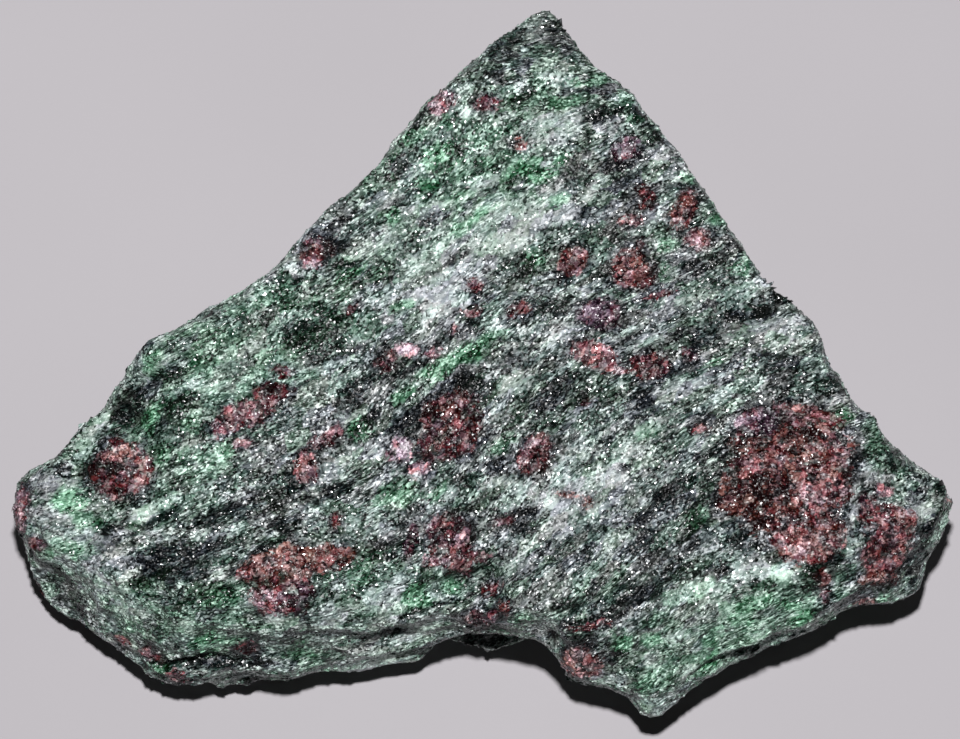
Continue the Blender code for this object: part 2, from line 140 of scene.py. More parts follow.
# Garnets by part of the face: x, y, half length, half width, turn in degrees, tone, and warmth from -1
# for purple to 1 for orange. A spot inside a garnet comes after it, and gives its own tone and warmth
GARNETS = {
    "tip": [
        (-3.5, 20.8, 1.2, 0.7, 45, 0.14, -0.4), (0.2, 20.7, 0.9, 0.7, 0, 0.10, -0.3),
        (3.0, 17.2, 0.7, 0.5, 0, 0.20, 0.6), (11.7, 16.8, 1.0, 0.9, 0, 0.08, -0.7),
    ],
    "shoulder": [
        (-13.8, 8.4, 1.4, 1.2, 30, -0.02, 0), (-14.2, 7.1, 0.6, 0.4, 0, 0.25, -0.3),
        (-10.9, 3.2, 0.4, 0.2, 30, 0, 0),
    ],
    "high right": [
        (13.2, 12.6, 1.2, 0.7, 90, -0.10, 0.2), (12.2, 10.7, 0.8, 0.6, 0, 0.08, -0.1),
        (16.4, 11.6, 1.7, 1.0, 65, 0.04, 0.3), (17.5, 9.2, 1.3, 0.9, 0, 0.10, -0.1),
        (18.5, 9.4, 0.5, 0.4, 0, -0.05, 0.2), (7.4, 7.2, 1.5, 1.3, 0, 0.10, 0.1),
        (12.5, 6.6, 1.75, 1.6, 0, 0.06, 0.2), (12.9, 8.5, 0.3, 0.25, 0, -0.10, 0.2),
    ],
    "middle": [
        (-0.6, 5.1, 0.8, 0.5, 0, 0.02, 0.1), (-1.1, 2.9, 0.9, 0.5, 0, 0.18, 0.2),
        (3.0, 3.1, 0.9, 0.7, 10, -0.02, 0.3), (-2.4, 1.2, 0.35, 0.25, 0, 0.10, 0),
        (-8.0, -1.2, 0.9, 0.8, 60, -0.08, 0), (-6.5, -0.3, 1.1, 0.6, 0, 0.32, -0.6),
        (-4.3, -0.5, 0.8, 0.6, 0, 0.18, -0.3),
    ],
    "right": [
        (9.3, -1.0, 2.2, 1.2, -30, 0.04, 0.1), (9.6, 2.6, 1.9, 1.3, 0, 0.02, -1.0),
        (9.6, -1.0, 1.6, 0.9, -35, 0.06, 0), (11.0, -2.0, 0.8, 0.4, -20, 0.30, -0.2),
        (13.6, -1.8, 1.5, 1.3, 0, -0.08, 0), (16.9, -0.8, 0.6, 0.6, 0, 0.12, -0.3),
        (8.5, -4.8, 0.5, 0.3, 0, 0.05, 0.1), (17.5, -6.9, 0.6, 0.4, 0, 0.22, 0.3),
        (14.4, 4.4, 1.2, 0.3, 15, 0, 0),
    ],
    "left": [
        (-19.4, -5.7, 2.6, 1.0, 20, 0.04, 0), (-16.3, -1.8, 0.9, 0.5, -20, 0.05, 0),
        (-17.4, -3.9, 1.6, 1.0, -10, -0.08, 0), (-20.8, -6.2, 1.5, 1.0, 30, 0.12, -0.1),
        (-19.8, -8.2, 1.0, 0.4, 0, 0.20, 0), (-12.7, -7.6, 1.2, 0.9, 30, 0.02, -0.1),
        (-14.5, -10.1, 1.5, 0.95, 85, 0.08, 0),
    ],
    "lobe": [
        (-30.0, -10.2, 2.7, 2.3, 0, -0.04, 0), (-29.7, -8.7, 1.4, 0.6, 10, 0.22, 0.4),
        (-31.8, -9.8, 1.4, 0.8, 80, -0.12, 0), (-30.2, -7.5, 0.6, 0.5, 0, -0.10, 0),
        (-38.4, -13.0, 2.2, 0.8, 80, 0.12, -0.2), (-37.2, -15.7, 0.8, 0.5, 0, 0, 0),
    ],
    "heart": [
        (-2.8, -6.5, 3.1, 2.4, 55, -0.06, 0.1), (-2.7, -5.1, 2.5, 1.5, 20, -0.02, 0.1),
        (-2.7, -4.6, 1.3, 0.7, 10, 0.14, 0.2), (-3.5, -7.8, 2.2, 1.6, 50, -0.12, 0.1),
        (-2.1, -6.3, 1.0, 0.4, 0, 0.05, 0.1), (-5.2, -10.5, 0.9, 0.6, 20, 0.35, -0.2),
        (-6.7, -8.6, 1.1, 1.1, 0, 0.22, -1.0), (4.2, -9.1, 1.9, 1.4, 50, -0.02, 0),
        (6.9, -12.3, 0.9, 0.4, -10, 0.12, 0.8), (8.3, -13.0, 0.5, 0.5, 0, 0.10, 0.9),
    ],
    "low heart": [
        (-2.7, -16.2, 2.8, 1.8, -70, -0.02, -0.1), (-2.5, -14.6, 0.9, 0.5, 10, -0.08, 0),
        (-3.0, -15.9, 1.6, 1.2, 40, -0.08, -0.1), (-5.9, -16.3, 1.4, 0.6, 75, -0.02, -0.7),
        (-1.8, -16.1, 0.7, 0.6, 0, 0.30, -0.5), (-1.7, -18.3, 1.2, 0.9, 90, 0.04, 0),
        (-0.2, -17.5, 0.7, 0.5, 0, 0.15, -0.4), (-4.2, -17.8, 0.9, 0.5, 10, 0.05, -0.2),
        (1.5, -14.5, 0.9, 0.5, 25, 0.14, -0.4),
    ],
    "front": [
        (-15.6, -18.2, 4.6, 1.3, 8, 0.02, 0.6), (-16.4, -20.6, 2.7, 1.9, 0, 0.02, 0.1),
        (-12.2, -14.8, 0.6, 0.4, 70, 0.05, 0.5), (-18.5, -17.9, 1.6, 0.4, 22, 0.02, 0.8),
        (-16.1, -16.7, 0.6, 0.45, 20, 0.08, 0.7), (-12.9, -17.6, 2.3, 0.9, 3, 0, 0.6),
        (-17.0, -18.5, 1.8, 0.7, 10, 0.08, 0.6), (-19.4, -19.1, 0.8, 0.5, 0, 0.15, 0),
        (-15.0, -19.3, 1.3, 0.5, 15, 0.03, 0.7), (-17.1, -21.4, 1.6, 1.2, 0, 0.12, -0.1),
        (-14.9, -20.9, 1.2, 0.9, 0, -0.12, -0.4), (-19.4, -24.3, 0.8, 0.4, 0, 0, -0.2),
        (-27.6, -24.5, 1.2, 0.6, -30, -0.05, 0), (-30.1, -23.5, 0.7, 0.5, -30, 0.05, 0),
        (-25.5, -26.5, 1.3, 0.5, 0, 0.10, -0.1),
    ],
    "step and notch": [
        (0.7, -19.8, 1.0, 0.6, 30, -0.05, 0), (1.5, -21.9, 1.0, 0.5, -60, 0.06, 0.4),
        (-0.4, -22.6, 1.3, 0.7, 0, -0.05, -0.2), (8.4, -23.0, 1.9, 0.5, 5, -0.10, 0.1),
        (7.7, -25.9, 1.9, 1.5, 0, 0.12, 0.4),
    ],
    "great": [
        (25.0, -10.5, 5.6, 5.0, 60, -0.04, 0.5), (26.5, -15.8, 3.3, 2.2, 10, 0, 0.3),
        (26.3, -5.8, 3.0, 1.2, -15, 0, 0.1), (22.4, -6.2, 2.1, 1.2, 10, 0.08, -1.0),
        (21.0, -12.6, 2.2, 1.8, 0, -0.08, 0.8), (25.9, -9.3, 0.8, 0.6, 0, 0.10, 0.8),
        (25.4, -13.0, 0.5, 0.5, 0, 0.20, 0.6), (28.0, -12.3, 2.3, 1.1, 0, 0.05, -0.1),
        (25.3, -16.1, 1.2, 1.2, 0, 0.15, 0.3), (29.0, -8.6, 0.9, 0.8, 0, 0.10, 0.1),
        (27.7, -19.3, 0.9, 0.7, 90, -0.05, 0), (27.9, -20.5, 0.5, 0.4, 0, 0.10, 0),
    ],
    "right strip": [
        (32.9, -17.2, 2.8, 2.1, 60, -0.06, 0.2), (33.4, -14.3, 2.2, 1.4, -20, -0.05, 0.1),
        (32.8, -11.9, 1.0, 0.5, 0, 0.25, -0.3), (31.3, -13.3, 1.3, 0.8, 80, -0.08, 0),
        (34.7, -13.9, 0.9, 0.6, 0, 0.05, 0.3), (31.8, -15.3, 0.8, 0.6, 0, -0.08, 0.1),
        (34.6, -16.4, 1.1, 0.6, 55, 0.02, 0.3), (33.3, -17.4, 1.1, 0.7, 0, 0.05, 0.2),
        (31.9, -18.8, 1.4, 0.7, -10, 0.06, 0.8), (33.7, -18.8, 0.8, 0.5, 0, -0.08, 0.3),
        (31.5, -20.4, 0.9, 0.4, 0, 0.06, 0.5), (38.6, -12.0, 0.5, 0.4, 0, 0.10, 0.3),
    ],
}
# Black-green patches by part of the face: x, y, half length, half width, turn and strength
DARK = {
    "tip": [
        (2.8, 13.2, 1.5, 0.4, 5, 0.8), (-2.4, 16.9, 1.0, 0.8, 0, 0.6), (-5.5, 19.5, 0.7, 0.6, 0, 1.0),
        (3.0, 21.2, 1.7, 0.5, 30, 0.9), (1.8, 23.0, 0.9, 0.6, 0, 0.6), (1.6, 26.0, 1.7, 0.6, 35, 0.7),
        (5.8, 27.0, 1.2, 0.9, 90, 0.5), (9.6, 19.5, 1.9, 0.6, 15, 0.9),
        (13.3, 19.3, 1.6, 0.6, -55, 0.8), (14.0, 18.3, 1.3, 0.5, -50, 0.9),
        (10.7, 15.5, 1.6, 0.9, 80, 0.65), (-7.0, 15.5, 1.5, 1.0, 30, 0.5),
    ],
    "shoulder": [
        (-12.0, 8.7, 1.3, 0.8, 30, 0.8), (-11.5, 6.8, 1.6, 0.4, 5, 0.7),
        (-11.8, 11.0, 2.0, 0.6, 40, 0.6), (-12.9, 2.7, 1.8, 0.6, -20, 0.8),
        (-14.6, 1.2, 2.5, 1.0, 10, 0.8), (-12.5, 0, 2.5, 0.8, 5, 0.7), (-10.8, -3.7, 1.2, 0.8, 20, 0.9),
    ],
    "band": [
        (-2.5, 7.1, 1.5, 0.5, 35, 0.9), (-4.8, 10.6, 0.9, 0.25, 30, 0.9), (2.4, 6.6, 1.7, 0.9, 10, 0.9),
        (-0.9, 1.8, 1.3, 0.9, 10, 0.9), (-0.8, 4.3, 0.9, 0.5, 0, 0.7), (2.8, 1.8, 1.1, 0.6, 10, 0.7),
    ],
    "high right": [
        (25.5, -2.3, 3.6, 1.5, -20, 0.5), (12.3, 9.0, 1.6, 0.4, 0, 0.8), (18.2, 7.2, 1.9, 0.7, 20, 0.9),
        (20.6, 8.8, 1.0, 0.5, -40, 0.9), (10.5, 6.2, 0.9, 0.6, 90, 0.6), (6.6, 5.8, 1.2, 0.8, -45, 1.0),
        (6.0, 3.2, 1.3, 0.7, 30, 0.8), (9.6, 3.9, 2.0, 0.5, 10, 0.5), (22.3, 3.0, 2.9, 0.8, 15, 1.0),
        (24.6, 4.2, 1.2, 0.8, 20, 1.0), (24.0, -0.8, 1.3, 0.5, 0, 0.7),
        (28.8, -3.0, 1.3, 0.8, -40, 0.6), (16.7, 1.0, 1.1, 1.0, 0, 0.6),
    ],
    "broad": [
        (-25.4, -7.2, 2.8, 3.2, 0, 0.3), (15.8, -14.5, 5.5, 3.0, 42, 0.35),
        (5.0, -3.0, 4.5, 3.5, 30, 0.2), (19.0, 0.5, 5.0, 3.0, 20, 0.2),
    ],
    "left": [
        (-32.0, -14.3, 1.6, 0.6, -30, 0.4), (-26.1, -2.6, 2.0, 0.7, 25, 1.0),
        (-28.7, -3.5, 1.5, 0.7, 15, 1.0), (-29.8, -5.2, 1.5, 1.0, 80, 0.9),
        (-28.4, -5.5, 1.3, 1.2, 0, 0.8), (-24.1, -4.4, 1.5, 0.4, 15, 0.5),
        (-32.6, -9.9, 1.5, 0.5, 80, 0.8), (-31.5, -8.0, 1.0, 0.4, 50, 0.7),
        (-29.2, -12.8, 1.0, 0.4, 0, 0.8), (-30.1, -14.6, 1.6, 0.5, 10, 0.7),
        (-22.0, -14.1, 2.2, 0.5, 18, 0.9), (-25.3, -18.0, 3.9, 2.0, 2, 1.0),
        (-22.6, -16.4, 3.0, 0.7, 0, 0.9), (-24.6, -18.9, 1.3, 0.45, 85, 0.8),
        (-34.4, -19.3, 2.5, 0.8, -45, 0.6), (-35.7, -17.8, 1.5, 0.9, -30, 0.6),
    ],
    "front": [
        # These first two lie along the front ledge line and are painted shade
        (-22.0, -25.5, 3.2, 0.45, 0, 0.9), (-18.5, -25.4, 1.5, 0.4, 0, 0.8),
        (-17.5, -12.9, 3.0, 1.2, 15, 0.65), (-16.3, -14.6, 1.6, 0.7, 15, 0.7),
        (-16.6, -15.9, 1.7, 0.5, 25, 0.9), (-17.8, -17.0, 0.8, 0.4, 20, 0.6),
        (-12.5, -12.1, 1.9, 0.7, 15, 0.8), (-8.5, -16.9, 1.3, 1.1, 45, 0.8),
    ],
    "centre": [
        (0.2, -3.9, 1.4, 0.7, 90, 0.7), (-11.6, -4.6, 2.0, 1.0, 30, 0.5),
        (8.0, -16.6, 2.6, 1.5, 35, 0.5), (14.4, -9.0, 1.2, 0.5, 50, 0.6),
        (18.3, -6.2, 2.2, 1.0, 30, 0.5), (-6.9, -1.9, 1.9, 0.8, 15, 1.0),
        (-9.5, -2.9, 1.2, 0.8, 30, 0.7), (-6.5, -6.5, 1.6, 0.8, 30, 0.8),
        (-1.2, -2.9, 1.9, 0.7, 0, 0.9), (0.8, -9.5, 1.0, 0.35, 15, 0.9),
        (-9.6, -6.3, 1.4, 0.6, 40, 0.6), (6.2, -3.3, 1.9, 1.1, 25, 0.8), (7.8, -3.9, 1.2, 0.4, 10, 0.8),
        (5.5, -6.7, 0.7, 0.4, 20, 0.9), (-1.6, -11.0, 1.3, 0.6, 20, 0.7),
        (-1.9, -13.1, 1.5, 0.8, 0, 0.5), (3.6, -13.8, 1.1, 0.4, 0, 1.0),
        (3.2, -15.2, 1.2, 0.35, 0, 0.7), (8.5, -17.0, 2.0, 1.4, 35, 0.4),
        (12.9, -4.4, 1.6, 0.8, -20, 1.0), (15.6, -2.2, 1.2, 0.35, 25, 0.8),
        (17.2, -5.7, 2.3, 0.4, 20, 0.6), (15.4, -6.9, 1.2, 0.7, 45, 0.5),
    ],
    "dark band": [
        (16.2, -16.3, 2.6, 1.3, 40, 0.45), (21.0, -20.4, 1.6, 0.7, 10, 0.5),
        (14.5, -13.0, 3.2, 0.9, 42, 1.0), (17.2, -12.3, 1.6, 0.9, 40, 0.9),
        (18.2, -9.0, 1.6, 0.6, 30, 1.0), (20.0, -7.7, 0.9, 0.5, 30, 0.8),
        (16.2, -11.3, 1.0, 0.8, 40, 0.9), (12.7, -14.5, 1.4, 0.5, 40, 0.9),
        (12.3, -16.3, 1.6, 0.5, 40, 0.7), (14.9, -18.7, 2.1, 0.35, 50, 1.0),
        (19.1, -18.7, 1.0, 0.8, 0, 1.0), (17.3, -18.5, 0.5, 0.4, 0, 0.8),
        (20.4, -15.9, 0.9, 0.6, 0, 0.6), (11.9, -21.1, 4.0, 0.7, 33, 0.9),
        (7.2, -21.5, 1.8, 0.5, 20, 0.8), (13.8, -20.1, 1.4, 0.6, 45, 0.8),
        (7.5, -24.3, 2.6, 0.5, 0, 1.0), (10.9, -25.1, 0.8, 0.6, 0, 0.9),
        (15.2, -25.6, 0.9, 0.5, 40, 0.5),
    ],
    "great garnet": [
        (23.6, -19.7, 2.1, 0.5, -5, 0.7), (26.6, -19.2, 1.6, 1.2, 0, 0.8),
        (27.7, -17.9, 1.2, 0.7, 0, 0.8), (29.0, -18.5, 1.2, 1.1, 0, 0.7),
        (23.3, -11.9, 2.0, 1.6, 20, 0.9), (23.0, -13.8, 1.3, 0.7, 0, 0.8),
        (26.1, -7.4, 1.6, 0.6, 0, 0.7), (32.6, -16.0, 1.0, 0.6, 0, 0.9),
        (36.6, -14.6, 2.6, 0.6, 60, 0.9), (37.8, -11.6, 0.9, 0.6, 0, 0.8),
        (35.8, -17.0, 1.5, 0.7, 55, 0.8), (32.5, -8.5, 2.6, 1.4, -40, 0.4),
        (30.6, -9.1, 1.0, 0.9, 0, 0.4),
    ],
}
# Milky grey-green patches, in the same terms. The small strong ones at (-31.3, -18.9), (3.2, -6.3),
# (18.3, -0.6), (-5.0, 12.8), (-3.8, 8.5), (-2.7, 6.4), (-10.9, 7.4), (-1.4, 20.2) and (9.6, 18.4) are
# white glints: painted highlights
PALE_AND_GLINTS = {
    "broad": [
        (-0.5, 8.5, 8.5, 3.8, 40, 0.5), (-34.0, -15.0, 5.0, 3.6, -55, 0.4),
        (8.5, -12.5, 4.6, 3.4, 25, 0.3), (17.5, -23.5, 6.0, 3.0, 35, 0.3),
    ],
    "left": [
        (-31.0, -19.9, 1.8, 0.9, -30, 0.6), (-35.6, -11.0, 2.2, 0.9, -5, 0.7),
        (-36.6, -13.6, 1.6, 0.8, 90, 0.6), (-29.4, -18.5, 2.2, 0.5, 80, 0.4),
        (-27.1, -1.7, 2.0, 0.9, 30, 0.6), (-31.9, -6.3, 2.3, 0.8, 50, 0.9),
        (-35.9, -10.7, 1.7, 0.6, 0, 0.8), (-37.0, -12.6, 1.0, 0.9, 0, 0.4),
        (-28.3, -9.6, 1.4, 0.8, 80, 1.1), (-28.0, -13.7, 1.7, 0.9, 25, 1.2),
        (-26.6, -13.2, 1.5, 0.8, 25, 0.6), (-35.4, -14.3, 1.5, 0.8, 0, 0.5),
        (-36.5, -17.4, 0.8, 0.6, 0, 0.8), (-32.3, -18.2, 1.0, 0.6, 0, 0.9),
        (-31.3, -18.9, 0.7, 0.35, 0, 1.4), (-30.9, -17.6, 1.7, 1.4, 0, 0.5),
        (-29.9, -20.9, 1.5, 1.0, -20, 0.6), (-27.6, -21.8, 0.9, 0.5, 0, 0.5),
        (-24.5, -22.8, 1.0, 0.7, 20, 0.7), (-22.1, -15.5, 1.3, 0.5, 22, 0.9),
        (-22.2, -18.1, 1.5, 0.9, 0, 0.45), (-25.0, -12.3, 0.9, 0.25, 0, 0.8),
        (-22.8, -12.4, 1.0, 0.3, 40, 0.8), (-20.9, -1.7, 3.0, 1.5, 40, 0.45),
        (-19.2, 0, 2.0, 0.5, 60, 0.5), (-24.0, -3.4, 0.9, 0.35, 30, 0.8),
        (-25.6, -4.2, 0.6, 0.4, 0, 0.6), (-24.1, -8.4, 0.6, 0.5, 0, 0.8),
        (-25.5, -7.7, 0.5, 0.4, 0, 0.8), (-22.0, -8.5, 1.0, 0.5, 0, 0.5),
    ],
    "middle": [
        (-5.6, -10.7, 1.0, 0.6, 30, 1.2), (-12.4, -10.2, 2.0, 0.6, 25, 0.7),
        (-9.8, -9.2, 2.2, 0.8, 10, 0.5), (-16.4, -7.8, 1.2, 0.4, 15, 0.5),
        (-14.0, -1.9, 0.9, 0.5, 0, 0.7), (-15.6, -3.0, 0.6, 0.5, 0, 0.6),
        (-10.6, 0.7, 0.9, 0.6, 40, 0.6), (-10.6, -5.6, 1.0, 0.4, 30, 0.7),
        (-7.7, -6.6, 0.5, 0.4, 0, 0.7), (2.7, -3.0, 1.7, 1.0, 15, 1.0), (5.9, 0.7, 1.7, 0.5, 35, 1.0),
        (3.2, -6.3, 0.35, 0.35, 0, 1.5), (1.5, -11.2, 1.9, 0.5, -15, 0.8),
        (4.3, -12.3, 1.6, 0.6, -40, 0.7), (-2.9, -12.4, 0.7, 0.5, 0, 0.8),
    ],
    "front": [
        (-8.0, -21.0, 1.8, 1.8, 60, 0.6), (-7.0, -19.8, 1.7, 0.5, 85, 1.2),
        (-12.4, -22.8, 1.4, 0.9, 20, 0.6), (-13.0, -23.9, 0.6, 0.35, 0, 0.9),
        (-11.2, -21.8, 1.6, 0.8, 10, 0.5), (-17.1, -22.6, 1.1, 0.5, 0, 1.1),
        (-18.7, -21.2, 0.9, 0.8, 0, 0.7), (-11.0, -14.8, 0.8, 0.7, 40, 0.7),
        (-8.2, -15.5, 1.0, 0.6, 0, 0.6), (2.8, -16.1, 1.0, 0.35, 0, 0.9),
        (2.9, -17.8, 1.3, 0.9, 0, 0.6), (2.9, -21.2, 1.1, 0.6, 0, 0.5), (-3.4, -18.5, 0.9, 0.6, 0, 0.6),
        (-5.0, -22.9, 2.2, 0.9, 25, 0.55),
    ],
    "quartz": [
        (5.4, -13.3, 0.9, 0.9, 0, 1.1), (7.6, -12.5, 3.0, 2.2, 20, 0.75),
        (6.4, -15.2, 1.4, 0.9, 20, 0.8), (9.2, -13.6, 1.0, 0.9, 0, 0.8),
        (10.5, -11.0, 1.7, 1.5, 30, 0.85), (7.0, -9.2, 2.2, 1.5, 30, 0.45),
        (11.6, -8.8, 1.5, 0.8, 20, 0.7), (10.5, -16.2, 1.4, 0.9, 20, 0.55),
        (12.4, -18.1, 0.7, 0.4, 30, 0.7), (12.1, -12.3, 1.5, 0.8, 10, 0.6),
    ],
    "horn": [
        (24.8, -19.0, 1.5, 0.9, -5, 1.5), (21.9, -18.7, 1.9, 0.8, 0, 0.8),
        (20.8, -17.6, 0.9, 0.7, 0, 0.5), (16.7, -20.3, 2.3, 0.9, 20, 0.7),
        (19.3, -21.3, 1.2, 0.8, 0, 0.6), (19.2, -22.6, 1.5, 0.5, 80, 0.6),
        (15.8, -24.0, 1.3, 0.6, 30, 0.9), (13.9, -25.8, 0.9, 0.5, 0, 0.6),
        (16.8, -26.3, 1.2, 0.45, 50, 1.2), (13.3, -28.6, 1.3, 1.2, 0, 0.5),
        (9.4, -26.6, 0.9, 0.7, 90, 0.7), (22.7, -23.5, 1.3, 0.6, 25, 0.6),
        (25.2, -21.6, 0.5, 0.4, 0, 0.8),
    ],
    "right": [
        (30.4, -13.2, 2.2, 0.5, 84, 1.1), (29.8, -16.2, 0.9, 0.8, 0, 0.6),
        (29.9, -17.8, 0.8, 0.6, 0, 0.5), (29.2, -19.2, 0.9, 0.4, 0, 0.7),
        (35.8, -13.2, 1.1, 0.9, 0, 0.9), (32.3, -10.7, 2.0, 0.6, -15, 0.6),
        (27.8, -8.2, 0.9, 0.35, 0, 0.9), (27.1, -13.8, 0.9, 0.8, 0, 0.5),
        (28.0, -4.4, 0.9, 0.4, 0, 0.6), (23.3, 1.4, 3.3, 1.0, 8, 0.8), (25.9, 0.7, 1.6, 0.4, 5, 0.8),
        (20.5, 1.2, 1.3, 0.6, 15, 0.7), (16.3, -3.6, 2.9, 0.7, 18, 0.9),
        (18.3, -0.6, 0.7, 0.35, 30, 1.1), (11.0, -3.3, 0.5, 0.45, 0, 1.2),
        (13.4, -6.9, 1.4, 1.0, 10, 0.7), (14.0, 2.8, 1.9, 0.8, 20, 0.55),
        (13.6, 0.8, 1.6, 0.5, 20, 0.55), (15.4, -10.2, 1.1, 0.5, 40, 0.6),
        (17.7, -8.2, 1.6, 0.8, 30, 0.4),
    ],
    "band": [
        (-7.0, 9.6, 3.6, 1.6, 40, 0.45), (-5.5, 7.0, 2.4, 1.2, 40, 0.45),
        (-3.6, 3.4, 2.2, 1.4, 30, 1.0), (0.9, 14.2, 1.6, 0.6, 35, 0.7), (-3.7, 5.2, 3.6, 1.6, 30, 0.9),
        (-1.9, 3.5, 1.1, 0.8, 0, 1.1), (-2.5, 1.9, 0.8, 0.5, 0, 1.0), (-0.9, 0.7, 0.8, 0.35, 0, 0.7),
        (1.5, 8.9, 3.2, 1.0, 17, 0.95), (-0.4, 7.8, 2.2, 0.6, 35, 0.8), (4.5, 11.3, 3.3, 1.6, 10, 0.85),
        (5.8, 12.6, 1.9, 1.0, 0, 0.6), (-4.8, 11.8, 2.3, 0.7, 15, 0.85),
        (-5.0, 12.8, 0.9, 0.25, 10, 1.4), (-0.6, 13.6, 2.6, 0.45, 35, 0.85),
        (1.9, 11.6, 1.9, 0.8, 20, 0.8), (-8.2, 12.6, 1.6, 0.8, 30, 0.5),
        (-7.0, 10.8, 1.3, 0.7, 20, 0.5), (-3.8, 8.5, 0.35, 0.3, 0, 1.4), (-5.8, 7.6, 0.35, 0.3, 0, 1.2),
        (-2.7, 6.4, 0.45, 0.35, 0, 1.2), (-10.9, 7.4, 0.5, 0.35, 0, 1.2),
    ],
    "shoulder": [
        (-13.4, 4.3, 0.9, 0.4, 20, 0.7), (-10.5, 0.6, 1.0, 0.4, 20, 0.6),
        (-8.0, 4.0, 0.9, 0.5, 20, 0.7), (-6.6, 2.6, 2.5, 0.4, 25, 0.45), (-16.0, 7.2, 0.9, 0.9, 0, 0.6),
    ],
    "tip": [
        (-1.4, 20.2, 0.8, 0.7, 0, 1.5), (5.5, 23.2, 1.3, 0.4, -10, 1.1),
        (7.1, 23.6, 1.0, 0.35, 10, 0.8), (4.2, 27.2, 1.1, 0.9, 60, 0.6), (6.2, 18.9, 2.8, 1.8, 10, 0.8),
        (4.6, 17.4, 1.6, 1.0, 10, 0.6), (9.6, 18.4, 0.55, 0.3, 30, 1.6), (-2.8, 18.6, 0.9, 0.6, 0, 0.5),
    ],
    "high right": [
        (8.7, 13.0, 1.2, 0.4, 55, 0.9), (14.5, 15.9, 1.0, 0.5, 15, 0.9),
        (15.7, 12.6, 0.6, 0.5, 90, 0.6), (13.5, 10.9, 0.7, 0.6, 0, 0.6), (7.5, 6.8, 0.7, 0.4, -45, 1.2),
        (9.5, 7.8, 1.1, 0.5, 60, 0.75), (8.3, 4.5, 1.1, 0.5, 10, 0.6), (13.0, 4.4, 0.6, 0.35, 0, 0.8),
        (15.5, 3.5, 2.1, 0.8, 20, 0.5), (21.5, 4.9, 2.0, 0.7, 20, 0.55),
    ],
}
